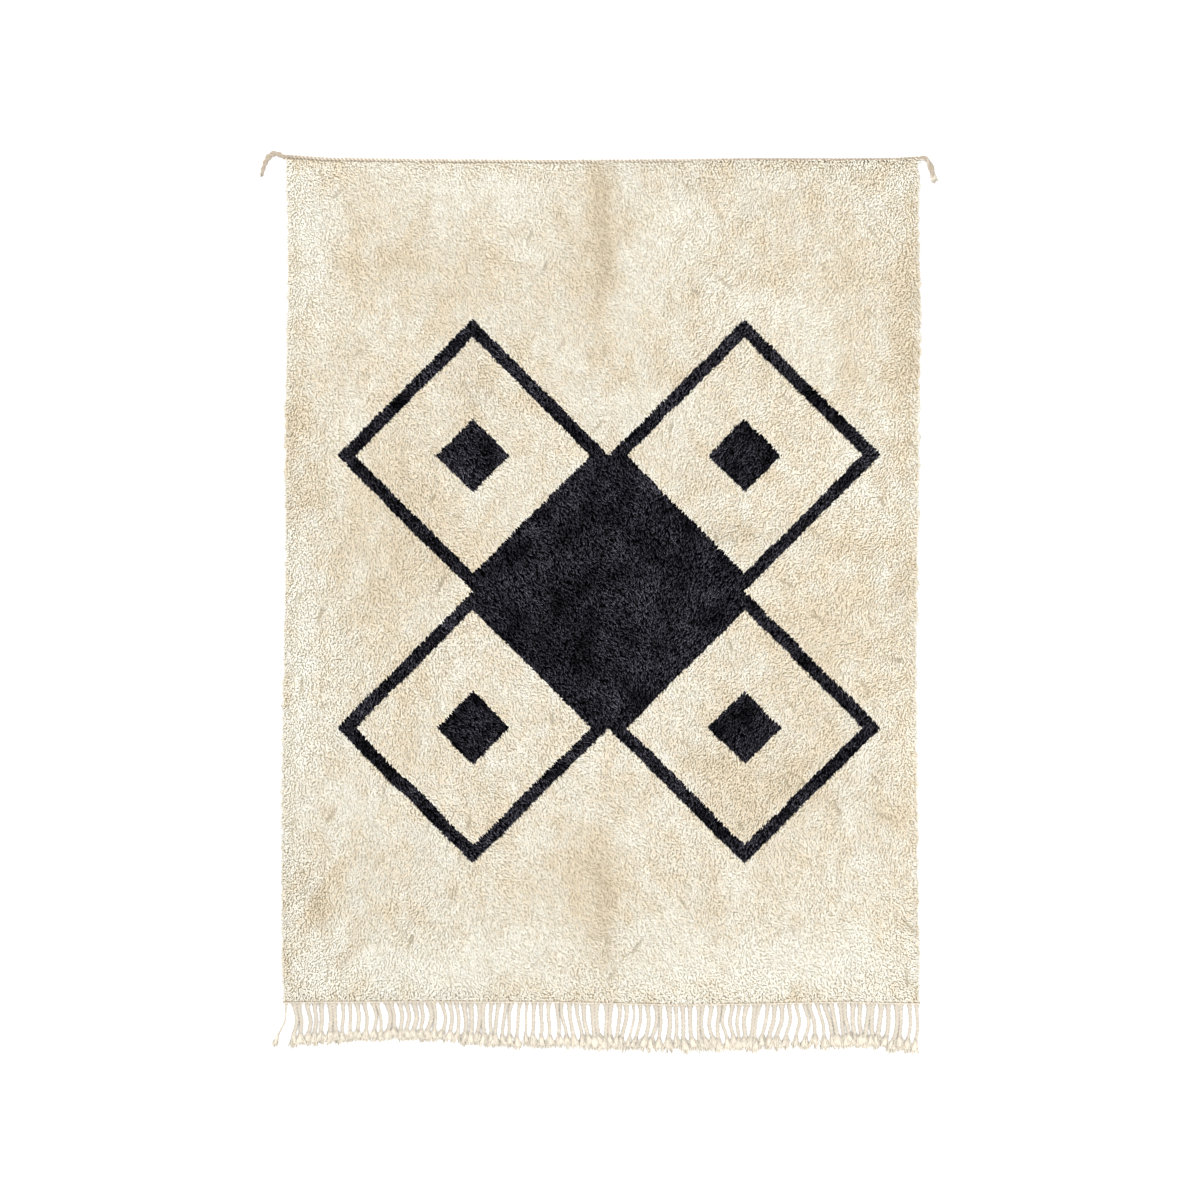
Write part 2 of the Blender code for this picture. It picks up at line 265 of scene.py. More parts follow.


# %% [markdown]
# ## Tones of the wool
# Undyed wool is never one colour. The real pile has warm beige clouds and cool ivory ones with soft
# edges, a beige crease down the middle at both ends, and single knots that are a little lighter or
# darker. The clouds are ovals listed in a short table, mottles of smooth noise fill what lies
# between, and each knot gets its own small change. All of it is stored on the points of the pile.

# %% Clouds of warm and cool wool
CLOUDS = table(
    "across along width length turn warmth shade",
    (0.000, 0.900, 0.040, 0.220, 0, 0.80, 0.00),
    (0.003, 1.090, 0.040, 0.080, 0, 0.45, 0.00),
    (0.004, -0.890, 0.046, 0.190, -4, 0.75, 0.05),
    (-0.594, 0.100, 0.120, 0.460, 0, 0.42, -0.05),
    (-0.540, 0.170, 0.060, 0.110, 0, 0.40, -0.30),
    (-0.373, 0.540, 0.090, 0.130, 0, 0.40, -0.30),
    (-0.370, 0.100, 0.090, 0.220, 0, 0.15, 0.00),
    (-0.855, 0.458, 0.040, 0.080, 0, 0.70, -0.10),
    (-0.834, 0.230, 0.045, 0.050, -20, 0.60, -0.30),
    (-0.850, -0.280, 0.050, 0.300, 0, -0.65, 0.00),
    (-0.805, -0.915, 0.026, 0.110, -25, 1.00, -0.10),
    (-0.640, 0.900, 0.120, 0.040, 12, 0.35, -0.10),
    (0.620, -0.165, 0.150, 0.230, 0, 0.55, -0.05),
    (0.450, -0.590, 0.180, 0.120, 0, 0.75, -0.15),
    # This wide cloud only lightens the right half: painted light, where its locks lie away from the key
    # lamp.
    (0.640, 0.250, 0.300, 0.850, 0, 0.00, 0.30),
    (0.850, 0.720, 0.040, 0.260, 0, 0.85, -0.15),
    (0.860, -0.500, 0.040, 0.400, 0, 0.25, 0.20),
    (0.550, 0.940, 0.200, 0.120, 0, 0.30, 0.00),
    (-0.460, 0.880, 0.310, 0.080, 0, 0.30, -0.05),
    (0.530, 0.480, 0.210, 0.140, 0, 0.20, 0.00),
    (-0.570, -1.090, 0.280, 0.080, 0, -0.75, 0.12),
    (0.480, -1.080, 0.440, 0.090, 0, -0.70, 0.12),
    (-0.830, 0.970, 0.070, 0.170, 0, -0.50, -0.10),
    (-0.310, 1.110, 0.230, 0.050, 0, -0.50, 0.05),
    (0.195, 0.980, 0.085, 0.100, 0, -0.55, 0.15),
    (0.480, 0.780, 0.150, 0.060, -15, -0.45, 0.15),
    (0.150, 0.060, 0.070, 0.230, 0, -0.30, 0.10),
    (0.330, 0.130, 0.190, 0.036, 0, 0.35, -0.45),
    (0.848, 0.005, 0.040, 0.110, 0, 0.40, -0.30),
    (-0.140, -0.830, 0.160, 0.110, 0, 0.25, 0.00),
)
MOTTLES = table(
    "span layer warmth shade",
    (0.130, 31.0, 0.34, 0.06),
    (0.048, 37.0, 0.44, 0.19),
    (0.022, 43.0, 0.24, -0.18),
)
MOTTLE_DRAWN = 0.7
USUAL_WARMTH = 0.43
CLOUD_WARMTH = 0.74
WARM_SHADE = 0.12
RIM_SHADE = 0.30
RIM_SHADE_SPAN = 0.016
RIGHT_RIM_LIGHT = 0.006


def oval_shares(x, y, oval, turn=0.0):
    """How far places are from an oval's middle along its two axes, where 1 is on its edge."""
    cosine, sine = math.cos(math.radians(turn)), math.sin(math.radians(turn))
    off_x, off_y = x - oval["across"], y - oval["along"]
    return (off_x * cosine + off_y * sine) / oval["width"], (off_y * cosine - off_x * sine) / oval["length"]


def cloud_tones(x, y):
    """Warmth, from 0 for ivory to 1 for beige, and shade, where less than 0 is darker."""
    warmth = USUAL_WARMTH
    shade = 0.0
    for mottle in MOTTLES:
        lumps = noise_at(x, MOTTLE_DRAWN * y, mottle["span"], mottle["layer"])
        warmth = warmth + mottle["warmth"] * lumps
        if mottle["shade"] > 0.0:
            lumps = noise_at(x, MOTTLE_DRAWN * y, mottle["span"], -mottle["layer"])
        shade = shade + mottle["shade"] * lumps
    for cloud in CLOUDS:
        far_x, far_y = oval_shares(x, y, cloud, cloud["turn"])
        strength = np.exp(-(far_x**2 + far_y**2))
        warmth = warmth + CLOUD_WARMTH * cloud["warmth"] * strength
        shade = shade + cloud["shade"] * strength
    # The pile is painted darker along its sides and at the heading end, as the shade where it rounds over
    # the rim, a little less on the right.
    along = 0.5 - y / FIELD_LENGTH
    left_inset = x + read(OUTLINE, "left", along)
    right_inset = read(OUTLINE, "right", along) - x + RIGHT_RIM_LIGHT
    inset = np.minimum(np.minimum(left_inset, right_inset), FIELD_LENGTH / 2 - y)
    rim = np.exp(-np.maximum(inset, 0.0) / RIM_SHADE_SPAN)
    shade = shade - WARM_SHADE * (warmth - USUAL_WARMTH) - RIM_SHADE * rim
    return np.clip(warmth, 0.0, 1.0), shade


print(len(CLOUDS), "clouds placed by hand")

# %% [markdown]
# ### Where the pile has opened
# A rug that was folded keeps a crease down its middle at both ends, where the locks part and one sees down
# into the pile. A hundred and ten short partings, some a finger long, are scattered over the rest by
# chance. Each is a thin oval that lies roughly across the nap, and the locks in it are thinner and more
# ruffled, and painted warmer and darker, as the shade down in the pile. Painting these alone would look
# flat, so they change the locks as well.

# %% Creases and short partings
CREASES = table(
    "across along width length turn depth",
    (0.002, 1.000, 0.038, 0.230, 0, 0.60),
    (0.004, -0.930, 0.042, 0.210, 4, 0.55),
    (-0.805, -0.915, 0.024, 0.120, 25, 0.50),
)
SHORT_PARTINGS = 110
SHORT_RANGES = {
    "across": (-0.88, 0.88),
    "along": (-1.12, 1.14),
    "width": (0.0030, 0.0050),
    "length": (0.014, 0.034),
}
SHORT_DEPTHS = (0.8, 1.6)
LEFT_TURN = -32.0
RIGHT_TURN = 38.0
TURN_CHANGES_AT = 0.15
TURN_LOOSE = 16.0

parting_dice = np.random.default_rng(5)
short = filled(CREASES.dtype, SHORT_PARTINGS)
for name, limits in SHORT_RANGES.items():
    short[name] = parting_dice.uniform(*limits, SHORT_PARTINGS)
short["turn"] = np.where(short["across"] < TURN_CHANGES_AT, LEFT_TURN, RIGHT_TURN)
short["turn"] += parting_dice.normal(0.0, TURN_LOOSE, SHORT_PARTINGS)
short["depth"] = parting_dice.uniform(*SHORT_DEPTHS, SHORT_PARTINGS)
PARTINGS = np.concatenate([CREASES, short])


def opened_at(x, y):
    """How far the pile has opened at many places: 0 where it is closed, and over 1 where it is deepest."""
    opened = np.zeros(len(x))
    for oval in PARTINGS:
        far_x, far_y = oval_shares(x, y, oval, oval["turn"])
        opened = np.maximum(opened, oval["depth"] * np.exp(-(far_x**2 + far_y**4)))
    return opened


print(len(PARTINGS), "partings")

# %% [markdown]
# ## Shader building blocks
# Three effects are wanted in more than one material, so each is a node group: where the black knots are,
# the colour of pile wool, and the fine fibre of spun yarn. A group puts out colours, masks and heights
# only, and the shader itself stays in the material.

# %% Helpers for shader trees
WHITE = (1.0, 1.0, 1.0, 1.0)
MIX_FIRST = 6
MIX_SECOND = 7
MIX_RESULT = 2


def fill_in(tree, node, fill):
    """Fills a node's inputs with links or with plain values."""
    for socket_name, value in fill.items():
        if isinstance(value, bpy.types.NodeSocket):
            tree.links.new(value, node.inputs[socket_name])
        else:
            node.inputs[socket_name].default_value = value


def add_node(tree, kind, fill, **settings):
    """Adds a shader node with its settings, fills its inputs, and returns its outputs."""
    node = tree.nodes.new("ShaderNode" + kind)
    for setting, value in settings.items():
        setattr(node, setting, value)
    fill_in(tree, node, fill)
    return node.outputs


def new_group(name, inputs, outputs):
    """A node group with named sockets. Returns it with the sockets to read from and the node to fill in."""
    tree = bpy.data.node_groups.new(name, "ShaderNodeTree")
    for direction, sockets in (("INPUT", inputs), ("OUTPUT", outputs)):
        for socket_name, kind in sockets.items():
            tree.interface.new_socket(socket_name, in_out=direction, socket_type="NodeSocket" + kind)
    return tree, tree.nodes.new("NodeGroupInput").outputs, tree.nodes.new("NodeGroupOutput")


def worked_out(tree, operation, *values):
    """One step of arithmetic on values over the surface."""
    return add_node(tree, "Math", dict(enumerate(values)), operation=operation)[0]


def apart(tree, first, second):
    """How far apart two values are."""
    return worked_out(tree, "ABSOLUTE", worked_out(tree, "SUBTRACT", first, second))


def worked_out_vector(tree, operation, fill):
    """One step of arithmetic on vectors or colours over the surface."""
    return add_node(tree, "VectorMath", fill, operation=operation)[0]


def mixed(tree, share, low, high):
    """A colour that runs from low to high as the share goes from 0 to 1."""
    fill = {"Factor": share, MIX_FIRST: low, MIX_SECOND: high}
    return add_node(tree, "Mix", fill, data_type="RGBA")[MIX_RESULT]


def grain(tree, place, scale, detail):
    """Noise over the surface, about 0.5, with lumps of one part in scale of a metre."""
    return add_node(tree, "TexNoise", {"Vector": place, "Scale": scale, "Detail": detail})["Fac"]


# %% [markdown]
# ### The figure
# The black figure is a group of five lozenges, the plainest traditional motif of such rugs: a solid one in
# the middle, and four drawn in outline that share its sides, each with a small solid one inside. It is
# symmetrical, so the place is folded over both middle lines first, and one quarter describes it all. A
# weaver counts knots and still wanders a little, which the warp of the place stands for.

# %% Where the knots are black
FIGURE_MIDDLE = (0.020, -0.027)
LOZENGE_HALF = 0.385
LINE_WIDTH = 0.037
INNER_SHARE = 0.27
HAND_WANDER = 0.012
WANDER_GRAIN = {"Scale": 9.0, "Detail": 2.0}

figure, source, result = new_group("figure_mask", {"Place": "Vector"}, {"Black": "Float"})
step = partial(worked_out, figure)
wander = add_node(figure, "TexNoise", {"Vector": source["Place"], **WANDER_GRAIN})["Color"]
centred = worked_out_vector(figure, "SUBTRACT", {0: wander, 1: (0.5, 0.5, 0.5)})
shift = worked_out_vector(figure, "SCALE", {0: centred, "Scale": HAND_WANDER})
moved = worked_out_vector(figure, "ADD", {0: source["Place"], 1: shift})
parts = add_node(figure, "SeparateXYZ", {0: moved})
folded = [
    step("DIVIDE", apart(figure, parts[axis], middle), LOZENGE_HALF)
    for axis, middle in zip("XY", FIGURE_MIDDLE)
]

outer_distance = step("ADD", *[apart(figure, share, 1.0) for share in folded])
line_share = LINE_WIDTH * math.sqrt(2.0) / LOZENGE_HALF
on_line = step("LESS_THAN", apart(figure, outer_distance, 1.0 - line_share / 2), line_share / 2)
in_middle = step("LESS_THAN", step("ADD", *folded), 1.0)
in_small = step("LESS_THAN", outer_distance, INNER_SHARE)
fill_in(figure, result, {"Black": step("MAXIMUM", step("MAXIMUM", in_middle, in_small), on_line)})
print("figure", round(4 * LOZENGE_HALF, 2), "m across, line", round(1000 * LINE_WIDTH), "mm")

# %% [markdown]
# ### The colour of pile wool
# A lock of wool is lightest at its open tip and darker down at the knot, where little light gets in. Cream
# wool goes from ivory to beige with the clouds. The black is charcoal with a blue cast, and only its very
# tips catch enough light to look grey. They do so more in some knots than in others, and in soft patches.

# %% Colours of pile wool
IVORY = (0.935, 0.925, 0.872, 1.0)
BEIGE = (0.920, 0.815, 0.645, 1.0)
ROOT_SHADE_TINT = (0.99, 0.930, 0.775, 1.0)
CHARCOAL = (0.0006, 0.0006, 0.0010, 1.0)
CHARCOAL_TIP = (0.315, 0.303, 0.375, 1.0)
ROOT_SHADE = 0.68
WARM_ROOT_SHADE = 0.50
KNOT_SPREAD = 0.16
CLOUD_DEPTH = 0.15
BLACK_CONTRAST = 1.2
BLACK_TIP_CONTRAST = 6.0
BLACK_CLOUDS = (11.0, 2.0)
BLACK_CLOUD_DEPTH = 3.6

pile_colour, source, result = new_group(
    "pile_colour",
    {"Place": "Vector", "Warmth": "Float", "Shade": "Float", "Tone": "Float", "Tip": "Float"},
    {"Color": "Color"},
)
step = partial(worked_out, pile_colour)
root_light = step("MULTIPLY_ADD", source["Warmth"], WARM_ROOT_SHADE - ROOT_SHADE, ROOT_SHADE)
tip_range = {"Value": source["Tip"], "To Min": root_light, "To Max": 1.0}
tip_light = add_node(pile_colour, "MapRange", tip_range)["Result"]
tone_light = step("MULTIPLY_ADD", source["Tone"], KNOT_SPREAD, 1.0 - KNOT_SPREAD / 2)
cloud_light = step("MULTIPLY_ADD", source["Shade"], CLOUD_DEPTH, 1.0)
light = step("MULTIPLY", step("MULTIPLY", tip_light, tone_light), cloud_light)
cream = mixed(pile_colour, source["Warmth"], IVORY, BEIGE)
# The painted shade down at the knot is browner as well as darker.
tint = mixed(pile_colour, source["Tip"], ROOT_SHADE_TINT, WHITE)
tinted = worked_out_vector(pile_colour, "MULTIPLY", {0: cream, 1: tint})
lit_cream = worked_out_vector(pile_colour, "SCALE", {0: tinted, "Scale": light})

black_tip = step("POWER", source["Tip"], BLACK_TIP_CONTRAST)
black_tone = step("POWER", source["Tone"], BLACK_CONTRAST)
black_cloud = grain(pile_colour, source["Place"], *BLACK_CLOUDS)
black_cloud = step("MULTIPLY_ADD", black_cloud, BLACK_CLOUD_DEPTH, 1.0 - BLACK_CLOUD_DEPTH / 2)
black_light = step("MULTIPLY", step("MULTIPLY", black_tip, black_tone), black_cloud)
black = mixed(pile_colour, black_light, CHARCOAL, CHARCOAL_TIP)
is_black = add_node(pile_colour, "Group", {"Place": source["Place"]}, node_tree=figure)["Black"]
fill_in(pile_colour, result, {"Color": mixed(pile_colour, is_black, lit_cream, black)})

# %% [markdown]
# ### The fibre of spun yarn
# The cords are spun wool and cotton without pile. Close up they show fine fibre and small slubs. They are
# painted darker in the creases between the plies, as shade, and where they are soiled. Noise at two sizes
# gives both the tone and the height.

# %% Fibre of spun yarn
FINE_FIBRE = (620.0, 3.0)
SLUBS = (95.0, 2.0)
FINE_HEIGHT = 0.4
SLUB_HEIGHT = 0.6
SLUB_DIRT = 0.9
CREASE_SHADE = 0.75
SOIL_AND_SHADE_RANGE = {"From Min": 0.35, "From Max": 1.05}

yarn_fibre, source, result = new_group(
    "yarn_fibre",
    {"Place": "Vector", "Crease": "Float", "Clean": "Color", "Soiled and Shaded": "Color"},
    {"Color": "Color", "Height": "Float"},
)
step = partial(worked_out, yarn_fibre)
fine = grain(yarn_fibre, source["Place"], *FINE_FIBRE)
slub = grain(yarn_fibre, source["Place"], *SLUBS)
height = step("MULTIPLY_ADD", slub, SLUB_HEIGHT, step("MULTIPLY", fine, FINE_HEIGHT))
# Slubs make the yarn darker by chance; the Crease number carries painted shade in the creases between the
# plies, and soil.
soil_and_shade = step("MULTIPLY_ADD", slub, SLUB_DIRT, step("MULTIPLY", source["Crease"], CREASE_SHADE))
soil_and_shade_share = add_node(yarn_fibre, "MapRange", {"Value": soil_and_shade, **SOIL_AND_SHADE_RANGE})["Result"]
spun = mixed(yarn_fibre, soil_and_shade_share, source["Clean"], source["Soiled and Shaded"])
fill_in(yarn_fibre, result, {"Color": spun, "Height": height})

# %% [markdown]
# ## Materials
# Wool has no gloss to speak of: it is rough, and spun yarn has a faint sheen from the loose fibre that
# stands off it. Both are the same all over, so they are set on the shader itself. The pile reads the tone
# stored on its points, the ground reads the figure straight from its place, and the cords read their fibre
# from their place and the grime stored on their points.

# %% Materials of pile, ground and cords
SHEEN_ROUGHNESS = 0.6
GROUND_TIP = 0.12
GROUND_TUFTS = (210.0, 2.0)
BACK_GRAIN = (60.0, 2.0)
BACK_TONES = {"Warmth": 0.6, "Shade": -0.6, "Tip": 0.7}
BACK_KNOTS = {"Scale": 1.0, "Mortar Size": 0.0007, "Brick Width": 0.0115, "Row Height": 0.0075}
BACK_GAP = (0.20, 0.16, 0.11, 1.0)
BACK_GAP_SHARE = 0.55


def new_finish(name, roughness, gloss, sheen=0.0):
    """A rough material. Returns it with its tree and its shader."""
    finish = bpy.data.materials.new(name)
    finish.use_nodes = True
    shader = finish.node_tree.nodes["Principled BSDF"]
    shader.inputs["Roughness"].default_value = roughness
    shader.inputs["Specular IOR Level"].default_value = gloss
    shader.inputs["Sheen Weight"].default_value = sheen
    shader.inputs["Sheen Roughness"].default_value = SHEEN_ROUGHNESS
    return finish, finish.node_tree, shader


def stored(tree, *names):
    """The numbers stored on the points, each for the socket of the same name."""
    return {name: add_node(tree, "Attribute", {}, attribute_name=name.lower())["Fac"] for name in names}


def own_place(tree):
    """Where each part of the surface is on the rug."""
    return add_node(tree, "TexCoord", {})["Object"]


def raised(tree, height, strength, distance, **settings):
    """A normal that follows a height."""
    fill = {"Height": height, "Strength": strength, "Distance": distance}
    return add_node(tree, "Bump", fill, **settings)["Normal"]


def pile_finish():
    """The wool of the locks, dyed knot by knot."""
    finish, tree, shader = new_finish("pile_wool", roughness=0.95, gloss=0.0)
    knot = add_node(tree, "Attribute", {}, attribute_name="knot")["Vector"]
    fill = {"Place": knot, **stored(tree, "Warmth", "Shade", "Tone", "Tip")}
    wool = add_node(tree, "Group", fill, node_tree=pile_colour)["Color"]
    fill_in(tree, shader, {"Base Color": wool})
    return finish


def ground_finish():
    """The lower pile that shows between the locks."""
    finish, tree, shader = new_finish("ground_wool", roughness=0.95, gloss=0.0)
    place = own_place(tree)
    tufts = grain(tree, place, *GROUND_TUFTS)
    # The ground takes the colour of the locks down at their knots: painted shade, darker and browner,
    # between the locks.
    fill = {"Place": place, "Tone": tufts, "Tip": GROUND_TIP, **stored(tree, "Warmth", "Shade")}
    wool = add_node(tree, "Group", fill, node_tree=pile_colour)["Color"]
    fill_in(tree, shader, {"Base Color": wool, "Normal": raised(tree, tufts, strength=0.9, distance=0.003)})
    return finish


def underside_finish():
    """The back of the rug: rows of flat knots, each as wide as two warps."""
    finish, tree, shader = new_finish("knot_backs", roughness=0.95, gloss=0.1)
    place = own_place(tree)
    fill = {"Place": place, "Tone": grain(tree, place, *BACK_GRAIN), **BACK_TONES}
    wool = add_node(tree, "Group", fill, node_tree=pile_colour)["Color"]
    gaps = add_node(tree, "TexBrick", {"Vector": place, **BACK_KNOTS}, offset=0.0)["Fac"]
    knotted = mixed(tree, worked_out(tree, "MULTIPLY", gaps, BACK_GAP_SHARE), wool, BACK_GAP)
    normal = raised(tree, gaps, strength=0.8, distance=0.0015, invert=True)
    fill_in(tree, shader, {"Base Color": knotted, "Normal": normal})
    return finish


def yarn_finish(name, clean, soiled_and_shaded, bump_depth):
    """Spun yarn in two colours: where it is clean, and where it is soiled and in the painted shade of its
    creases.
    """
    finish, tree, shader = new_finish(name, roughness=0.9, gloss=0.1, sheen=0.05)
    fill = {"Place": own_place(tree), "Clean": (*clean, 1.0), "Soiled and Shaded": (*soiled_and_shaded, 1.0)}
    yarn = add_node(tree, "Group", fill | stored(tree, "Crease"), node_tree=yarn_fibre)
    normal = raised(tree, yarn["Height"], strength=0.6, distance=bump_depth)
    fill_in(tree, shader, {"Base Color": yarn["Color"], "Normal": normal})
    return finish


PILE_WOOL = pile_finish()
GROUND_WOOL = ground_finish()
KNOT_BACKS = underside_finish()
HEADING_YARN = yarn_finish("heading_yarn", (0.780, 0.725, 0.615), (0.375, 0.318, 0.250), bump_depth=0.0012)
WARP_YARN = yarn_finish("warp_yarn", (0.840, 0.765, 0.635), (0.520, 0.470, 0.395), 0.0010)
SEAM_YARN = yarn_finish("seam_yarn", (0.600, 0.525, 0.415), (0.370, 0.285, 0.195), 0.0008)
print(len(bpy.data.materials), "materials")

# %% [markdown]
# ## The ground
# Under the open tips the wool is packed as thick as felt on its woven ground. That lower part is one closed
# sheet: a grid fitted to the outline, raised to the height of the pile less the length of the open tips,
# then extruded down to the floor and flattened there. Its back is the underside of the rug.

# %% Model the ground
GROUND_COLUMNS = 74
GROUND_ROWS = 96
OPEN_TIPS = 0.0072
UNDERSIDE_LIMIT = -0.9

put_down_all()
bpy.ops.mesh.primitive_grid_add(x_subdivisions=GROUND_COLUMNS, y_subdivisions=GROUND_ROWS, size=2.0)
ground = bpy.context.object
ground.name = ground.data.name = "rug_ground"
place_x, place_y = points_of(ground.data).T[:2]
ground_x, ground_y = field_place(place_x, place_y)
ground_z = pile_top(place_x, place_y, ground_x, ground_y) - OPEN_TIPS
ground.data.vertices.foreach_set("co", np.ravel(np.column_stack([ground_x, ground_y, ground_z])))

edit_all()
bpy.ops.mesh.extrude_region_move(TRANSFORM_OT_translate={"value": (0.0, 0.0, -OPEN_TIPS)})
bpy.ops.transform.resize(value=(1.0, 1.0, 0.0), center_override=(0.0, 0.0, 0.0))
face_outwards()

ground.data.materials.append(GROUND_WOOL)
ground.data.materials.append(KNOT_BACKS)
for face in ground.data.polygons:
    face.material_index = int(face.normal.z < UNDERSIDE_LIMIT)
ground_x, ground_y, ground_z = points_of(ground.data).T
for name, values in zip(("warmth", "shade"), cloud_tones(ground_x, ground_y)):
    store(ground.data, name, values)
print("ground", len(ground.data.polygons), "faces,", round(1000 * ground_z.max(), 1), "mm thick")

# %% [markdown]
# ## One lock of wool
# The pile is made of many thousands of locks, so one lock has only four faces. A three-sided cone is added
# lying down. The lowest corner of its base is pulled back to the knot and its tip is pulled forward, while
# the upper two corners stay where they are and make the waist. The lock leaves the knot steeply, is widest
# at its waist, and then lies over. Four locks with different curls keep the pile from looking combed.

# %% Model the locks
LOCK_WIDTH = 0.0046
WAIST_RISE = 0.0058
WAIST_FORWARD = 0.0040
TIP_RISE = 0.0064
TIP_FORWARD = 0.0110
KNOT_SINK = 0.0018
CURLS = table(
    "sideways length lean",
    (0.0, 1.00, 0.0),
    (0.0030, 0.92, 0.0008),
    (-0.0030, 0.95, -0.0008),
    (0.0010, 1.14, 0.0004),
)


def model_lock(curl):
    """One lock that lies along +Y, with its knot at the origin."""
    put_down_all()
    waist = Vector((0.0, WAIST_FORWARD, WAIST_RISE))
    tip = Vector((curl["sideways"], TIP_FORWARD * curl["length"], TIP_RISE))
    length = tip.y - waist.y
    half_width = LOCK_WIDTH / 2
    drop = half_width * math.tan(math.radians(30.0))
    bpy.ops.mesh.primitive_cone_add(
        vertices=3,
        radius1=LOCK_WIDTH / math.sqrt(3.0),
        depth=length,
        location=waist + Vector((0.0, length / 2, -drop)),
        rotation=(math.radians(-90.0), 0.0, 0.0),
    )
    lock = bpy.context.object
    bpy.ops.object.transform_apply(location=True, rotation=True)
    bpy.ops.object.mode_set(mode="EDIT")
    middle = waist.y + length / 2
    pick(lambda place: place.y > middle)
    bpy.ops.transform.translate(value=tip - Vector((0.0, tip.y, waist.z - drop)))
    pick(lambda place: place.y < middle and place.z < waist.z - half_width)
    base_z = waist.z - LOCK_WIDTH * math.sin(math.radians(60.0))
    bpy.ops.transform.translate(value=Vector((0.0, -waist.y, -KNOT_SINK - base_z)))
    pick(lambda place: place.x > half_width / 2 and place.y < middle)
    bpy.ops.transform.translate(value=(0.0, 0.0, curl["lean"]))
    return lock


models = [read_model(model_lock(curl)) for curl in CURLS]
lock_models = np.array([points for points, _ in models])
lock_triangles = models[0][1]
print("lock", len(lock_models[0]), "points,", len(lock_triangles), "faces")
print(np.round(1000 * lock_models, 1))

# %% [markdown]
# ## Lay the pile
# The knots sit in rows, a little uneven, about five millimetres apart. Trodden pile lies mostly towards the
# fringe, but it swirls. Four wide fields draw the usual way round to the left, and smooth noise turns
# neighbours together. Near the sides the locks turn outwards and droop over the edge of the ground,
# unevenly, and at the ends they reach only a little way over the cords. It is all done in arrays.

# %% Where each lock stands and how it lies
LOCK = columns_of("x y z lie_x lie_y reach rise broad fall")
KNOT_COLUMNS = 386
KNOT_ROWS = 512
KNOT_UNEVEN = 0.42
REACHES = (0.82, 1.22)
RISES = (0.80, 1.18)
BREADTHS = (0.80, 1.20)
USUAL_NAP = -50.0
NAP_FIELDS = table(
    "across along width length way weight",
    (0.580, 0.260, 0.390, 0.900, -138, 3.0),
    (-0.700, -0.200, 0.210, 0.420, -108, 1.5),
    (-0.860, 0.280, 0.090, 0.220, -128, 1.5),
    (-0.660, -0.980, 0.260, 0.240, -126, 2.0),
)
NAP_TURN = 40.0
NAP_SWIRLS = (0.115, 3.0)
NAP_RUFFLE = 28.0
NAP_RUFFLES = (0.038, 5.0)
NAP_LOOSE = 15.0
PARTING_RUFFLE = 120.0
PARTING_RUFFLES = (0.016, 9.0)
PARTING_THIN = 0.36
TURN_OUT_SPAN = 0.034
OUTWARD_PULL = 1.3
NAP_LOST = 0.6
RIM_UNEVEN = 0.9
RIM_TUFTS = (0.020, 13.0)
RIM_FALL = 0.0030
DROOP = 0.50
HEM_COVER = 0.0022
HEADING_COVER = table("x cover", (-0.50, 0.0025), (-0.20, 0.0045), (0.20, 0.0050), (0.34, 0.0105))
HEADING_COVER_SPAN = 0.024
SHORTEST_LOCK = 0.45
LEAST_LIE = 0.05


def new_locks(count, **columns):
    """A table of locks: the knot's place, the way the lock lies, its stretch, and how far its tip falls."""
    locks = filled(LOCK, count, **columns)
    size = np.hypot(locks["lie_x"], locks["lie_y"])
    locks["lie_x"] /= size
    locks["lie_y"] /= size
    return locks


def rim_reach(x, y):
    """How much longer or shorter the locks over the rim are from place to place."""
    return 1.0 + RIM_UNEVEN * noise_at(x, y, *RIM_TUFTS)


def nap_way(x, y):
    """Which way the trodden pile lies, in degrees: the usual way, drawn round in a few wide fields."""
    way_x = np.full(len(x), math.cos(math.radians(USUAL_NAP)))
    way_y = np.full(len(x), math.sin(math.radians(USUAL_NAP)))
    for field in NAP_FIELDS:
        far_x, far_y = oval_shares(x, y, field)
        pull = field["weight"] * np.exp(-(far_x**4 + far_y**4))
        way_x += pull * math.cos(math.radians(field["way"]))
        way_y += pull * math.sin(math.radians(field["way"]))
    return np.degrees(np.arctan2(way_y, way_x))


def end_room(locks, place_x):
    """How far each lock may reach over a cord, as a share of a lock's length."""
    low, high = (field_place(place_x, np.full(len(place_x), end))[1] for end in (-1.0, 1.0))
    up = locks["lie_y"] > 0.0
    cover = np.where(up, read(HEADING_COVER, "cover", locks["x"]), HEM_COVER)
    free = np.where(up, high - locks["y"], locks["y"] - low) + cover
    return np.maximum(free / np.maximum(np.abs(locks["lie_y"]), LEAST_LIE) / TIP_FORWARD, SHORTEST_LOCK)


dice = np.random.default_rng(11)
column, row = np.meshgrid(np.arange(KNOT_COLUMNS), np.arange(KNOT_ROWS))
column, row = column.ravel(), row.ravel()
count = len(column)
stagger = 0.5 * (row % 2 - 0.5)
across = (column + 0.5 + stagger + dice.uniform(-KNOT_UNEVEN, KNOT_UNEVEN, count)) / KNOT_COLUMNS
along = (row + 0.5 + dice.uniform(-KNOT_UNEVEN, KNOT_UNEVEN, count)) / KNOT_ROWS
place_x = np.clip(2.0 * across - 1.0, -1.0, 1.0)
place_y = np.clip(1.0 - 2.0 * along, -1.0, 1.0)
knot_x, knot_y = field_place(place_x, place_y)
top_inset = (1.0 - place_y) * FIELD_LENGTH / 2
knot_y += read(HEADING_COVER, "cover", knot_x) * np.exp(-top_inset / HEADING_COVER_SPAN)

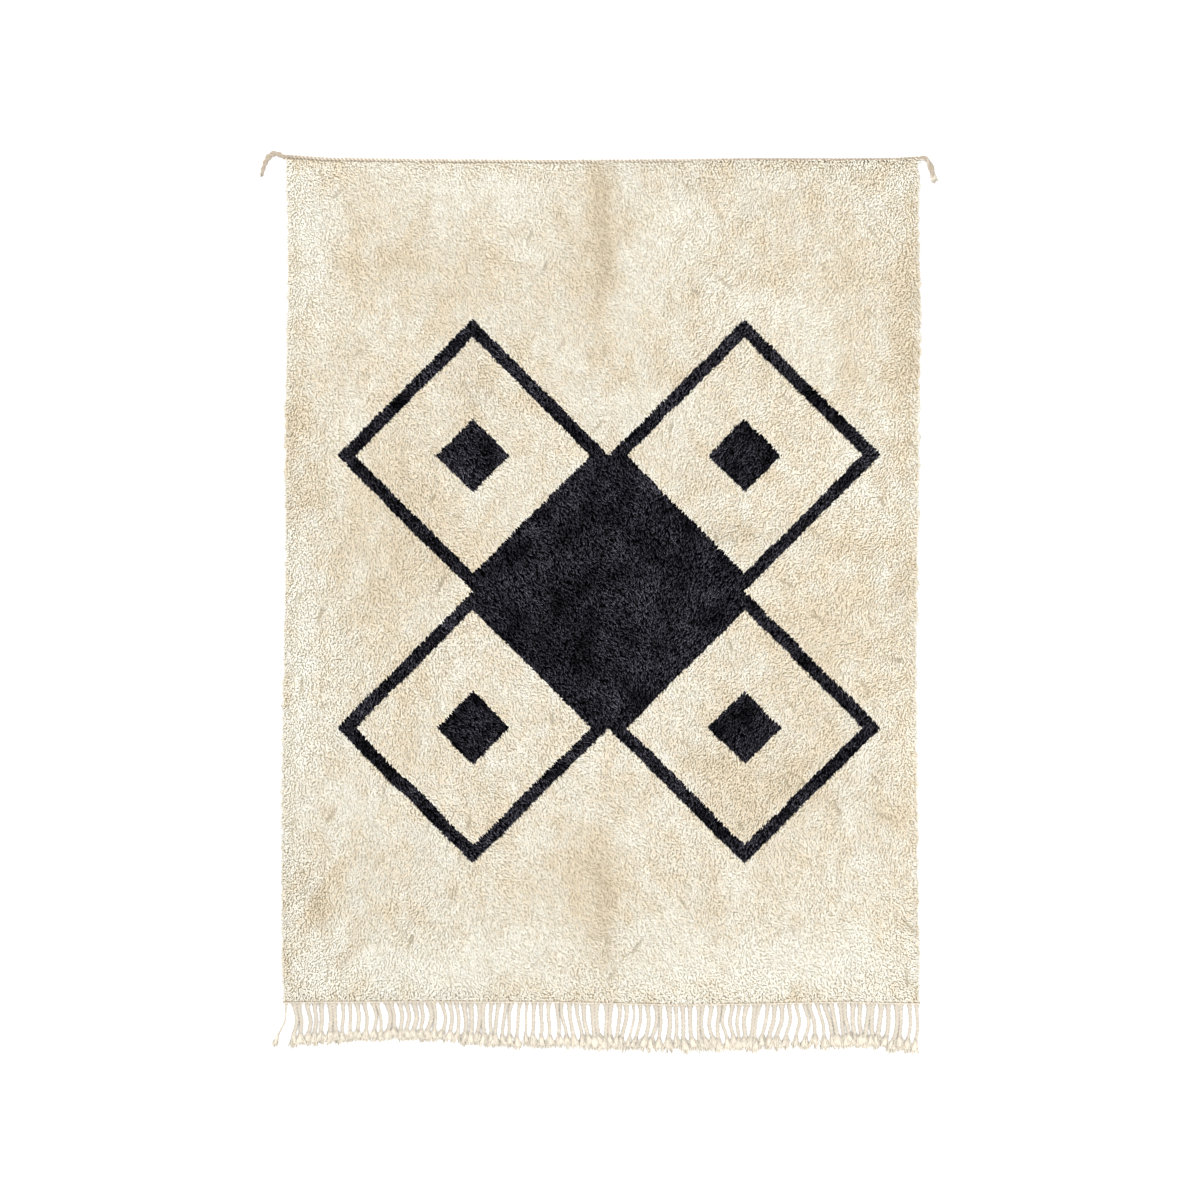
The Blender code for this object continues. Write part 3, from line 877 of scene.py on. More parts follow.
nap = nap_way(knot_x, knot_y) + NAP_TURN * noise_at(knot_x, knot_y, *NAP_SWIRLS)
nap += NAP_RUFFLE * noise_at(knot_x, knot_y, *NAP_RUFFLES) + dice.normal(0.0, NAP_LOOSE, count)
opened = opened_at(knot_x, knot_y)
nap += PARTING_RUFFLE * opened * noise_at(knot_x, knot_y, *PARTING_RUFFLES)
side_inset, _ = insets(place_x, place_y)
turn_out = np.clip(1.0 - side_inset / TURN_OUT_SPAN, 0.0, 1.0)
pile_locks = new_locks(
    count,
    x=knot_x,
    y=knot_y,
    z=pile_top(place_x, place_y, knot_x, knot_y) - OPEN_TIPS,
    lie_x=(1.0 - turn_out) * np.cos(np.radians(nap)) + OUTWARD_PULL * turn_out * np.sign(place_x),
    lie_y=(1.0 - NAP_LOST * turn_out) * np.sin(np.radians(nap)),
    reach=dice.uniform(*REACHES, count) * (1.0 + turn_out * (rim_reach(knot_x, knot_y) - 1.0)),
    rise=dice.uniform(*RISES, count) * (1.0 - DROOP * turn_out),
    broad=dice.uniform(*BREADTHS, count) * (1.0 - PARTING_THIN * opened),
    fall=RIM_FALL * turn_out,
)
pile_locks["reach"] = np.minimum(pile_locks["reach"], end_room(pile_locks, place_x))
pile_locks["broad"] /= np.sqrt(np.minimum(pile_locks["reach"], 1.0))
print(count, "locks,", count * len(lock_triangles), "faces")

# %% [markdown]
# ### The locks that hang from the edge
# Along both sides the outermost knots hang over the edge and hide it. Two more rows of locks are rooted on
# the upright edge of the ground, one above the other, and fall to the floor.

# %% Where the hanging locks are
HANGING_SPACING = 0.0034
HANGING_LOOSE = 24.0
HANGING_ROWS = table("root fall reach", (0.0056, 0.0052, 1.00), (0.0026, 0.0030, 0.86))
HANGING_END = 0.998
HANGING_UNEVEN = 0.4
HANGING_INSET = 0.002
HANGING_ROOTS = (0.85, 1.15)
HANGING_REACHES = (0.70, 1.10)
HANGING_BREADTHS = (0.85, 1.25)
HANGING_RISE = 0.35


def hanging_locks(side, hanging_row):
    """One row of locks on one side of the rug, -1 for the left and 1 for the right."""
    count = round(FIELD_LENGTH / HANGING_SPACING)
    shift = dice.uniform(-HANGING_UNEVEN, HANGING_UNEVEN, count)
    place_y = np.linspace(-HANGING_END, HANGING_END, count) + shift * 2.0 / count
    edge_x, edge_y = field_place(np.full(count, side), np.clip(place_y, -1.0, 1.0))
    turn = np.radians(dice.normal(0.0, HANGING_LOOSE, count))
    return new_locks(
        count,
        x=edge_x - side * HANGING_INSET,
        y=edge_y,
        z=hanging_row["root"] * dice.uniform(*HANGING_ROOTS, count),
        lie_x=side * np.cos(turn),
        lie_y=np.sin(turn),
        reach=hanging_row["reach"] * dice.uniform(*HANGING_REACHES, count) * rim_reach(edge_x, edge_y),
        rise=HANGING_RISE,
        broad=dice.uniform(*HANGING_BREADTHS, count),
        fall=hanging_row["fall"],
    )


hanging = [hanging_locks(side, hanging_row) for side in (-1.0, 1.0) for hanging_row in HANGING_ROWS]
locks = np.concatenate([pile_locks, *hanging])
print(len(locks) - count, "hanging locks,", len(locks), "in all")

# %% [markdown]
# ### Copy the locks
# Each copy is turned to its own nap, stretched by its own reach, rise and breadth, and moved to its knot.
# The pile goes out as bands across the rug, because one mesh of all the locks would be too heavy to handle.
# Each lock also gets one small cell of a texture map, with its faces laid out next to each other, so that
# the pile can be painted lock by lock.

# %% Build the bands of pile
PILE_BANDS = 6
TIP_SHARES = {"knot": 0.0, "waist": 0.6, "tip": 1.0}
KNOT_WARMTH = 0.60
PARTING_SHADE_WARMTH = 0.35
PARTING_SHADE = 1.15
FLECKS = 0.03
FLECK_TONE = -0.6
CELL_FILL = 0.86
SIDE_FOLD = 0.35
MAP_MARGIN = 0.06


def tip_share(points):
    """How far each point of a lock is from its knot towards its tip, from 0 to 1."""
    share = np.full(len(points), TIP_SHARES["waist"])
    share[points[:, 2].argmin()] = TIP_SHARES["knot"]
    share[points[:, 1].argmax()] = TIP_SHARES["tip"]
    return share


def bend_locks(models, chosen):
    """Stretches locks each way, lets their tips fall, turns them, and moves them to their knots."""
    stretch = np.column_stack([chosen["broad"], chosen["reach"], chosen["rise"]])
    side, ahead, up = np.moveaxis(models * stretch[:, None, :], -1, 0)
    lie_x, lie_y = chosen["lie_x"][:, None], chosen["lie_y"][:, None]
    x = chosen["x"][:, None] + side * lie_y + ahead * lie_x
    y = chosen["y"][:, None] - side * lie_x + ahead * lie_y
    z = chosen["z"][:, None] + up - chosen["fall"][:, None] * (ahead / TIP_FORWARD) ** 2
    return np.stack([x, y, np.maximum(z, FLOOR_GAP)], axis=-1)


def lock_map(triangles, share, count):
    """Texture places for the corners of many locks: one cell each, with the faces side by side."""
    template = np.empty((len(triangles), 3, 2))
    for number, triangle in enumerate(triangles):
        at_waist = share[triangle] == TIP_SHARES["waist"]
        aside = np.where(at_waist, 0.0, 1.0)
        if at_waist.sum() == 2:
            aside = np.where(at_waist, np.cumsum(at_waist) - 1.0, 0.5)
        template[number, :, 0] = (number + MAP_MARGIN + (1.0 - 2 * MAP_MARGIN) * aside) / len(triangles)
        template[number, :, 1] = np.where(at_waist, SIDE_FOLD, share[triangle])
    cells = math.ceil(math.sqrt(count))
    cell = np.stack([np.arange(count) % cells, np.arange(count) // cells], axis=-1)
    places = template[None] * CELL_FILL + (1.0 - CELL_FILL) / 2 + cell[:, None, None, :]
    return places.reshape(-1, 2) / cells


def lock_piece(name, chosen):
    """One mesh of the chosen locks."""
    count = len(chosen)
    points = bend_locks(lock_models[dice.integers(0, len(CURLS), count)], chosen)
    share = tip_share(lock_models[0])
    corners = len(share)
    waist_x = chosen["x"] + WAIST_FORWARD * chosen["lie_x"]
    waist_y = chosen["y"] + WAIST_FORWARD * chosen["lie_y"]
    warmth, shade = cloud_tones(waist_x, waist_y)
    warmth = warmth + KNOT_WARMTH * dice.uniform(-0.5, 0.5, count)
    # Locks in a parting are painted darker and warmer, as the shade down in the pile.
    depth = opened_at(waist_x, waist_y) ** 2
    warmth = np.clip(warmth + PARTING_SHADE_WARMTH * depth, 0.0, 1.0)
    fleck = dice.uniform(0.0, 1.0, count) < FLECKS * warmth
    tone = np.where(fleck, FLECK_TONE, dice.uniform(0.0, 1.0, count))
    attributes = {
        "knot": np.repeat(np.column_stack([waist_x, waist_y, chosen["z"]]), corners, axis=0),
        "warmth": np.repeat(warmth, corners),
        "shade": np.repeat(shade - PARTING_SHADE * depth, corners),
        "tone": np.repeat(tone, corners),
        "tip": np.tile(share, count),
    }
    triangles = copies_of(lock_triangles, corners, count)
    piece = new_mesh_piece(name, points.reshape(-1, 3), triangles, attributes, PILE_WOOL)
    unfolded = lock_map(lock_triangles, share, count)
    piece.data.uv_layers.new(name="OFBake").data.foreach_set("uv", np.ravel(unfolded))
    return piece


band_of_lock = np.clip((0.5 - locks["y"] / FIELD_LENGTH) * PILE_BANDS, 0, PILE_BANDS - 1).astype(int)
pile_bands = []
for number in range(PILE_BANDS):
    chosen = locks[band_of_lock == number]
    pile_bands.append(lock_piece(f"pile_band_{number + 1}", chosen))
    print(pile_bands[-1].name, len(chosen), "locks")

# %% [markdown]
# ## Twisted yarn
# Heading, hem and fringe are all yarn of two plies twisted round each other. Two circles side by side are
# drawn up by the Screw modifier, which is the twist itself. A cord is modelled upright and straight, and
# then laid on its route over the floor: its height becomes the way along. The crease between the plies is
# stored on the points, since painted shade darkens the yarn there, and the same number carries its grime.
# An end opens into a brush of thin fibres.

# %% Helpers for twisted yarn
ROUTE = columns_of("at x y broad tall middle")
PLY_SHARE = 0.60
CREASE_SPAN = 0.60
LOOK_AHEAD = 0.004
KNOT_LOOP = 0.30
KNOT_YARN = 0.20
CORE_SHARE = 0.62
FIBRE_LENGTHS = (0.65, 1.0)
FIBRE_ROOM = 0.7
FIBRE_ROOT = 0.60
FIBRE_TIP = 0.25


def model_cord(length, width, twist, sides, steps, ply_share=PLY_SHARE):
    """An upright two-ply cord with closed ends, whose plies go round once in each length of twist."""
    put_down_all()
    ply = ply_share * width / 2
    offset = width / 2 - ply
    bpy.ops.mesh.primitive_circle_add(vertices=sides, radius=ply, location=(offset, 0.0, 0.0))
    cord = bpy.context.object
    bpy.ops.object.transform_apply(location=True)
    bpy.ops.object.mode_set(mode="EDIT")
    bpy.ops.mesh.primitive_circle_add(vertices=sides, radius=ply, location=(-offset, 0.0, 0.0))
    bpy.ops.object.mode_set(mode="OBJECT")
    screw = cord.modifiers.new("twist", "SCREW")
    screw.angle = math.tau * length / twist
    screw.screw_offset = length
    screw.steps = round(steps * length / twist)
    screw.render_steps = screw.steps
    bpy.ops.object.modifier_apply(modifier="twist")
    edit_all()
    bpy.ops.mesh.fill_holes(sides=0)
    face_outwards()
    return cord


def add_knot(cord, at, width, tilts):
    """Adds a knot to an upright cord: a turn of yarn for each tilt, which cross each other."""
    take_up(cord)
    bpy.ops.object.mode_set(mode="EDIT")
    for tilt_x, tilt_y in tilts:
        bpy.ops.mesh.primitive_torus_add(
            major_segments=8,
            minor_segments=5,
            major_radius=KNOT_LOOP * width,
            minor_radius=KNOT_YARN * width,
            location=(0.0, 0.0, at),
            rotation=(math.radians(tilt_x), math.radians(tilt_y), 0.0),
        )
    bpy.ops.object.mode_set(mode="OBJECT")


def add_brush(cord, at, brush, dice):
    """Adds a brush to the end of an upright cord: a flared core, and loose fibres that fan out round it."""
    take_up(cord)
    bpy.ops.object.mode_set(mode="EDIT")
    bpy.ops.mesh.primitive_cone_add(
        vertices=6,
        radius1=brush["root"],
        radius2=brush["mouth"],
        depth=CORE_SHARE * brush["length"],
        location=(0.0, 0.0, at + CORE_SHARE * brush["length"] / 2),
    )
    for _ in range(int(brush["fibres"])):
        tilts = np.radians(dice.uniform(-brush["spread"], brush["spread"], 2))
        lean = Euler((*tilts, dice.uniform(0.0, math.tau)))
        size = brush["length"] * dice.uniform(*FIBRE_LENGTHS)
        root = Vector((*dice.uniform(-FIBRE_ROOM, FIBRE_ROOM, 2), 0.0)) * brush["root"]
        bpy.ops.mesh.primitive_cone_add(
            vertices=3,
            radius1=FIBRE_ROOT * brush["fibre_width"],
            radius2=FIBRE_TIP * brush["fibre_width"],
            depth=size,
            location=root + Vector((0.0, 0.0, at)) + lean.to_matrix() @ Vector((0.0, 0.0, size / 2)),
            rotation=lean,
        )
    bpy.ops.object.mode_set(mode="OBJECT")


def crease_of(points, width):
    """1 in the crease between the plies of an upright cord, and 0 on its outermost sides."""
    out = np.hypot(points[:, 0], points[:, 1]) / (width / 2)
    return np.clip((1.0 - out) / CREASE_SPAN, 0.0, 1.0)


def rolled(points, angle):
    """An upright model turned about its own axis."""
    x, y, z = points.T
    cosine, sine = math.cos(angle), math.sin(angle)
    return np.column_stack([x * cosine - y * sine, x * sine + y * cosine, z])


def laid_on(points, route):
    """Lays an upright model on a route over the floor: its height runs along the route's own lengths."""
    at = points[:, 2]
    x, y, broad, tall, middle = (np.interp(at, route["at"], route[name]) for name in ROUTE.names[1:])
    far, near = at + LOOK_AHEAD, at - LOOK_AHEAD
    ahead_x, ahead_y = (
        np.interp(far, route["at"], route[axis]) - np.interp(near, route["at"], route[axis]) for axis in "xy"
    )
    size = np.hypot(ahead_x, ahead_y)
    aside = points[:, 0] * broad
    z = np.maximum(middle + points[:, 1] * tall, FLOOR_GAP)
    return np.column_stack([x - aside * ahead_y / size, y + aside * ahead_x / size, z])


def new_route(x, y, **columns):
    """A route through places on the floor, with its own lengths unless they are given."""
    at = np.concatenate([[0.0], np.cumsum(np.hypot(np.diff(x), np.diff(y)))])
    return filled(ROUTE, len(x), **({"at": at, "x": x, "y": y} | columns))


def yarn_piece(name, parts, finish):
    """One piece from parts that are already in place, each with its points, triangles and crease."""
    firsts = np.cumsum([0, *(len(points) for points, _, _ in parts[:-1])])
    points = np.concatenate([part[0] for part in parts])
    triangles = np.concatenate([part[1] + first for part, first in zip(parts, firsts)])
    crease = np.concatenate([part[2] for part in parts])
    print(name, len(triangles), "triangles")
    return new_mesh_piece(name, points, triangles, {"crease": crease}, finish)


# %% [markdown]
# ## The heading cord and its tails
# The heading is twined: two yarns cross between each pair of warps, which leaves a row of beads. The same
# cord runs out at both corners. There it is less tightly twisted and curls down beside the rug. One cord
# makes all three, because its route gives the tails more length for each turn.

# %% Model and lay the heading
HEADING_WIDTH = 0.013
HEADING_HEIGHT = 0.0095
HEADING_TWIST = 0.022
HEADING_LUMPS = (0.035, 51.0)
CORD_UNEVEN = 0.10
SEAM_GAP = 0.0003
SEAM_STEPS = 200
LINE_STEPS = 240
TAIL_STEPS = 16
HEADING_DARKENING = table(
    "x all_over outer_side",
    (-0.975, 1.00, 0.75),
    (-0.903, 0.85, 0.75),
    (-0.830, 0.15, 0.40),
    (-0.740, 0.00, 0.20),
    (-0.450, 0.00, 0.20),
    (0.200, 0.10, 0.30),
    (0.400, 0.40, 0.40),
    (0.903, 0.30, 1.00),
    (0.945, 0.40, 1.00),
)
TAIL_CURVES = {
    "left": ((0.0, 0.0), (-0.030, 0.024), (-0.050, -0.001), (-0.060, -0.052)),
    "right": ((0.0, 0.0), (0.024, 0.008), (0.028, -0.018), (0.038, -0.054)),
}
TAIL_TWISTS = {"left": 0.036, "right": 0.075}
TAIL_SECTIONS = table(
    "along left_width right_width height",
    (0.0, 0.0150, 0.0140, 0.0095),
    (0.5, 0.0200, 0.0175, 0.0100),
    (1.0, 0.0110, 0.0210, 0.0070),
)


def seam_y(x, end):
    """Y of the pile's edge at one end of the field, -1 for the hem and 1 for the heading."""
    edge_x, edge_y = field_place(np.linspace(-1.0, 1.0, SEAM_STEPS), np.full(SEAM_STEPS, end))
    return np.interp(x, edge_x, edge_y)


def edge_line(end, width, lumps):
    """X and Y of a cord that lies against one end of the pile, and how thick it is from place to place."""
    x = np.linspace(-FIELD_WIDTH / 2, FIELD_WIDTH / 2, LINE_STEPS)
    y = seam_y(x, end) + end * SEAM_GAP + end * width / 2
    return x, y, 1.0 + CORD_UNEVEN * noise_at(x, y, *lumps)


def tail_route(side, root_x, root_y):
    """A tail's route from the heading's corner out to its tip."""
    handles = [Vector((*point, 0.0)) for point in TAIL_CURVES[side]]
    offsets = np.array(geometry.interpolate_bezier(*handles, TAIL_STEPS))
    along = np.linspace(0.0, 1.0, TAIL_STEPS)
    route = new_route(
        root_x + offsets[:, 0],
        root_y + offsets[:, 1],
        broad=read(TAIL_SECTIONS, side + "_width", along) / HEADING_WIDTH,
        tall=read(TAIL_SECTIONS, "height", along) / HEADING_WIDTH,
    )
    route["at"] *= HEADING_TWIST / TAIL_TWISTS[side]
    return route


def joined(first, second):
    """Two routes one after the other."""
    second = second[1:].copy()
    second["at"] += first["at"][-1]
    return np.concatenate([first, second])


line_x, line_y, thick = edge_line(1.0, HEADING_WIDTH, HEADING_LUMPS)
heading_line = new_route(line_x, line_y, broad=thick, tall=(HEADING_HEIGHT / HEADING_WIDTH) * thick)
left_tail = tail_route("left", line_x[0], line_y[0])
right_tail = tail_route("right", line_x[-1], line_y[-1])
left_in = left_tail[::-1].copy()
left_in["at"] = left_tail["at"][-1] - left_in["at"]
heading_route = joined(joined(left_in, heading_line), right_tail)
heading_route["middle"] = heading_route["tall"] * HEADING_WIDTH / 2 + FLOOR_GAP
heading_length = heading_route["at"][-1]

cord = model_cord(heading_length, HEADING_WIDTH, HEADING_TWIST, sides=6, steps=9)
cord_points, cord_triangles = read_model(cord)
laid = laid_on(cord_points, heading_route)
# The cord is darker all over in places, most near the left tail, which is grey from handling, and darker
# along its outer side; between its plies it gets painted shade.
all_over = read(HEADING_DARKENING, "all_over", laid[:, 0])
outwards = np.clip(0.5 + cord_points[:, 0] / HEADING_WIDTH, 0.0, 1.0)
outer_side = read(HEADING_DARKENING, "outer_side", laid[:, 0]) * outwards
crease = 1.0 - (1.0 - all_over) * (1.0 - crease_of(cord_points, HEADING_WIDTH)) * (1.0 - outer_side)
heading_parts = [(laid, cord_triangles, crease)]
print("heading cord", round(heading_length / HEADING_TWIST, 1), "turns")

# %% [markdown]
# ### The loose ends of the tails
# Both tails end in open wool. The left one is nearly worn to a point and grey from handling, and the right
# one has a full brush of cleaner fibre. Each is modelled upright too, and flattens onto the floor.

# %% Brushes on the tails
TAIL_BRUSHES = table(
    "length root mouth fibre_width spread fibres grime",
    (0.018, 0.0040, 0.0030, 0.0034, 8, 8, 0.90),
    (0.030, 0.0085, 0.0115, 0.0044, 14, 22, 0.25),
)
BRUSH_OVERLAP = 0.012
BRUSH_STEPS = 6
BRUSH_TALL = 0.45
BRUSH_FLATTENS = 0.25
BRUSH_MIDDLE = 0.0034
BRUSH_SINKS = 0.0014
STUB = {"length": 0.004, "width": 0.006, "twist": 0.018, "sides": 5, "steps": 6}
STUB_COVER = 0.001


def brush_route(tail, length):
    """A route on from inside the end of a tail, along which a brush flattens onto the floor."""
    step_x, step_y = tail["x"][-1] - tail["x"][-3], tail["y"][-1] - tail["y"][-3]
    size = math.hypot(step_x, step_y)
    share = np.linspace(0.0, 1.0, BRUSH_STEPS)
    ahead = length * share - BRUSH_OVERLAP
    return new_route(
        tail["x"][-1] + step_x / size * ahead,
        tail["y"][-1] + step_y / size * ahead,
        broad=1.0,
        tall=BRUSH_TALL - BRUSH_FLATTENS * share,
        middle=BRUSH_MIDDLE - BRUSH_SINKS * share,
    )


yarn_dice = np.random.default_rng(23)
for tail, brush in zip((left_tail, right_tail), TAIL_BRUSHES):
    stub = model_cord(**STUB)
    add_brush(stub, STUB_COVER, brush, yarn_dice)
    brush_points, brush_triangles = read_model(stub)
    laid = laid_on(brush_points, brush_route(tail, brush["length"]))
    heading_parts.append((laid, brush_triangles, np.full(len(laid), brush["grime"])))
heading_cord = yarn_piece("heading_yarn_cord", heading_parts, HEADING_YARN)

# %% [markdown]
# ## The hem
# At the bottom end the warp is held by a narrow flat-woven strip before it hangs free. It is made as a flat
# cord like the heading, narrower and lower. The fringe comes out from under it.

# %% Model and lay the hem
HEM_WIDTH = 0.010
HEM_HEIGHT = 0.0072
HEM_TWIST = 0.022
HEM_LUMPS = (0.030, 57.0)
HEM_CREASE_SHADE = 0.45

hem_x, hem_y, thick = edge_line(-1.0, HEM_WIDTH, HEM_LUMPS)
middle = HEM_HEIGHT / 2 * thick + FLOOR_GAP
hem_route = new_route(hem_x, hem_y, broad=thick, tall=(HEM_HEIGHT / HEM_WIDTH) * thick, middle=middle)
cord = model_cord(hem_route["at"][-1], HEM_WIDTH, HEM_TWIST, sides=5, steps=7)
cord_points, cord_triangles = read_model(cord)
# The hem is painted darker in the creases between its plies, as shade.
hem_crease = HEM_CREASE_SHADE * crease_of(cord_points, HEM_WIDTH)
fringe_parts = [(laid_on(cord_points, hem_route), cord_triangles, hem_crease)]
print("hem", round(hem_route["at"][-1] / HEM_TWIST, 1), "turns")

# %% [markdown]
# ## One strand of the fringe
# A strand is two plies twisted together, knotted near its end, and open below the knot. The knot is two
# turns of yarn that cross each other, and the brush is a flared core with some thirty thin fibres. Three
# strands with different knots and brushes are enough, since each copy is also rolled about its own axis.

# %% Model the strands
STRAND_LENGTH = 0.125
STRAND_WIDTH = 0.0140
KNOT_AT = 0.088
ROOT_COVER = 0.006
BRUSH_START = 0.006
STRAND_CORD = {
    "length": KNOT_AT + ROOT_COVER,
    "width": STRAND_WIDTH,
    "twist": 0.019,
    "sides": 5,
    "steps": 6,
    "ply_share": 0.72,
}
STRAND_KINDS = table(
    "knot_width first_tilt second_tilt fibres mouth",
    (0.0125, 24, -18, 28, 0.0125),
    (0.0140, -28, 14, 32, 0.0140),
    (0.0115, 12, 30, 26, 0.0110),
)
STRAND_BRUSH = {
    "length": STRAND_LENGTH - KNOT_AT + BRUSH_START,
    "root": 0.0070,
    "fibre_width": 0.0046,
    "spread": 36.0,
}

strand_models = []
for kind in STRAND_KINDS:
    knot_width, first_tilt, second_tilt, fibres, mouth = kind.item()
    strand = model_cord(**STRAND_CORD)
    take_up(strand)
    strand.location.z = -ROOT_COVER
    bpy.ops.object.transform_apply(location=True)
    tilts = ((first_tilt, second_tilt), (-second_tilt, first_tilt))
    add_knot(strand, KNOT_AT + knot_width / 4, knot_width, tilts)
    brush = STRAND_BRUSH | {"mouth": mouth, "fibres": fibres}
    add_brush(strand, KNOT_AT - BRUSH_START, brush, yarn_dice)
    strand_models.append(read_model(strand))
print("strands of", [len(triangles) for _, triangles in strand_models], "triangles")

# %% [markdown]
# ### Hang the fringe
# The strands come out of the hem about every two centimetres. Neighbours drift aside together, as fringe
# does when the rug is shaken out, some pairs cling to each other, and each strand strays a little by itself.
# The knots and brushes touch, and together they make the wavy lower edge. Three strands came loose: they are
# thin, and the one at the corner slants away from the rest. Open fibre is lighter towards its tips: cleaner
# there, and painted lighter against the shadows its fibres cast on each other.

# %% Lay the strands
STRAND_COUNT = 90
STRAND_HEIGHT = 0.0070
STRAND_BREADTHS = (0.72, 1.10)
ROOT_SHIFT = 0.0022
ROOT_STEP = 1.37
GROUP_SWAY = 0.0460
GROUP_SPAN = 9.0
GROUP_ROW = 7.0
BEND_SWAY = 0.36 * GROUP_SWAY
BEND_WAVES = 1.6
BEND_LAYER = 11.0
LONE_SWAY = 0.0110
LONE_STEP = 1.91
LONE_WAVES = 1.3
LONE_LAYER = 17.0
REACH_UNEVEN = 0.10
REACH_STEP = 0.83
REACH_ROW = 23.0
PAIR_PULL = 0.0052
PAIR_START = 0.25
PAIRED = (1, 6, 12, 14, 20, 27, 31, 38, 43, 45, 52, 58, 61, 66, 73, 78, 82, 86)
LOOSE_STRANDS = {0: (0.50, -0.034), 34: (0.62, 0.004), 49: (0.55, 0.003)}
ROOT_FLARE = 0.50
ROOT_FLARE_SPAN = 0.07
LOWEST_MIDDLE = 0.35
FRINGE_REACH = table(
    "across reach",
    (0.00, 0.130),
    (0.06, 0.123),
    (0.17, 0.111),
    (0.25, 0.115),
    (0.33, 0.133),
    (0.60, 0.136),
    (0.80, 0.136),
    (0.93, 0.131),
    (1.00, 0.146),
)
STRAND_SHARES = np.array([-0.05, 0.0, 0.08, 0.16, 0.25, 0.34, 0.43, 0.52, 0.60, 0.68, 0.76, 0.84, 0.92, 1.0])
FLATTEN = table(
    "share height", (-0.05, 0.70), (0.06, 1.00), (0.62, 1.00), (0.74, 0.62), (0.84, 0.42), (1.00, 0.22)
)
STRAND_GRIME = 0.745
OPEN_CLEAN_AND_LIGHT = 2.8
OPEN_GRIME = 0.36


def smooth(*place):
    """Smooth noise at one place."""
    return noise.noise(Vector(place))


def strand_route(number):
    """The route of one strand over the floor, from under the hem to its tip."""
    thin, drift = LOOSE_STRANDS.get(number, (1.0, 0.0))
    root_x = (number + 0.5) * FIELD_WIDTH / STRAND_COUNT - FIELD_WIDTH / 2
    root_x += ROOT_SHIFT * smooth(number * ROOT_STEP, 0.0, 0.0)
    root_y = seam_y(root_x, -1.0) - SEAM_GAP - HEM_WIDTH
    reach = read(FRINGE_REACH, "reach", 0.5 + root_x / FIELD_WIDTH)
    reach *= 1.0 + REACH_UNEVEN * smooth(number * REACH_STEP, REACH_ROW, 0.0)
    group = number / GROUP_SPAN
    pull = PAIR_PULL * ((number in PAIRED) - (number - 1 in PAIRED))
    sway = []
    for share in STRAND_SHARES:
        arch = math.sin(math.pi * max(share, 0.0))
        bend = BEND_SWAY * smooth(group, share * BEND_WAVES, BEND_LAYER) * arch
        alone = LONE_SWAY * smooth(number * LONE_STEP, share * LONE_WAVES, LONE_LAYER)
        together = GROUP_SWAY * smooth(group, GROUP_ROW, 0.0) + alone + drift
        clinging = pull * math.sin(math.pi * min(1.0, PAIR_START + share))
        sway.append(bend + together * share + clinging)
    flat = read(FLATTEN, "height", STRAND_SHARES)
    flare = 1.0 + ROOT_FLARE * np.exp(-STRAND_SHARES / ROOT_FLARE_SPAN)
    return new_route(
        root_x + np.array(sway),
        root_y - reach * STRAND_SHARES,
        at=STRAND_SHARES * STRAND_LENGTH,
        broad=thin * yarn_dice.uniform(*STRAND_BREADTHS) * flare,
        tall=thin * flat * STRAND_HEIGHT / STRAND_WIDTH,
        middle=thin * (LOWEST_MIDDLE + (1.0 - LOWEST_MIDDLE) * flat) * STRAND_HEIGHT / 2,
    )


for number in range(STRAND_COUNT):
    points, triangles = strand_models[yarn_dice.integers(0, len(strand_models))]
    points = rolled(points, yarn_dice.uniform(0.0, math.tau))
    laid = laid_on(points, strand_route(number))
    # Twisted yarn is painted darker towards the creases between its plies, as shade. Open fibre is lighter
    # towards its tips: cleaner there, and painted lighter against the shadows its fibres cast on each other.
    twisted = STRAND_GRIME + (1.0 - STRAND_GRIME) * crease_of(points, STRAND_WIDTH)
    open_share = np.clip((points[:, 2] - KNOT_AT) / (STRAND_LENGTH - KNOT_AT), 0.0, 1.0)
    open_soil_and_light = STRAND_GRIME * (1.0 - OPEN_CLEAN_AND_LIGHT * open_share**2)
    open_soil_and_light += OPEN_GRIME * yarn_dice.uniform(-0.5, 0.5, len(points))
    crease = np.where(points[:, 2] < KNOT_AT - BRUSH_START, twisted, open_soil_and_light)
    fringe_parts.append((laid, triangles, crease))
fringe = yarn_piece("warp_fringe_yarn", fringe_parts, WARP_YARN)

# %% [markdown]
# ## The seam threads
# A thin grey-brown thread runs between the hem and the pile, and dashes of one show below the heading. They
# are thin cords whose middle dips in and out like a stitch. The same thread makes the brown knot at the
# right end of the hem, the grey end that sticks out at the left, and the dark knot in the heading.

# %% Model and lay the seam threads
THREAD_WIDTH = 0.0026
THREAD_TWIST = 0.014
THREAD_TALL = 0.8
DASH = 0.0135
THREADS = table(
    "end aside first last height dip soil",
    (-1.0, -0.0039, -0.903, 0.905, 0.0090, 0.0006, 0.20),
    (1.0, 0.00015, -0.885, -0.300, 0.0140, 0.0026, 0.15),
    (1.0, 0.00015, -0.170, 0.230, 0.0140, 0.0026, 0.15),
    (1.0, 0.00015, 0.640, 0.700, 0.0140, 0.0026, 0.15),
)
LOOSE_END = table("x y", (-0.905, -1.1815), (-0.912, -1.1795), (-0.9185, -1.1820), (-0.9240, -1.1885))
LOOSE_SECTION = {"broad": 0.7, "tall": 0.7, "middle": 0.004}
SEAM_KNOTS = table("x y z width", (0.8930, -1.1905, 0.0060, 0.011), (0.7470, 1.1960, 0.0090, 0.009))
SEAM_KNOT_TALL = 0.8
SEAM_KNOT_BROAD = 0.5
SEAM_KNOT_TWIST = 0.012
SEAM_KNOT_TILTS = ((70.0, 20.0), (110.0, -30.0))
SEAM_KNOT_SOIL = 0.6


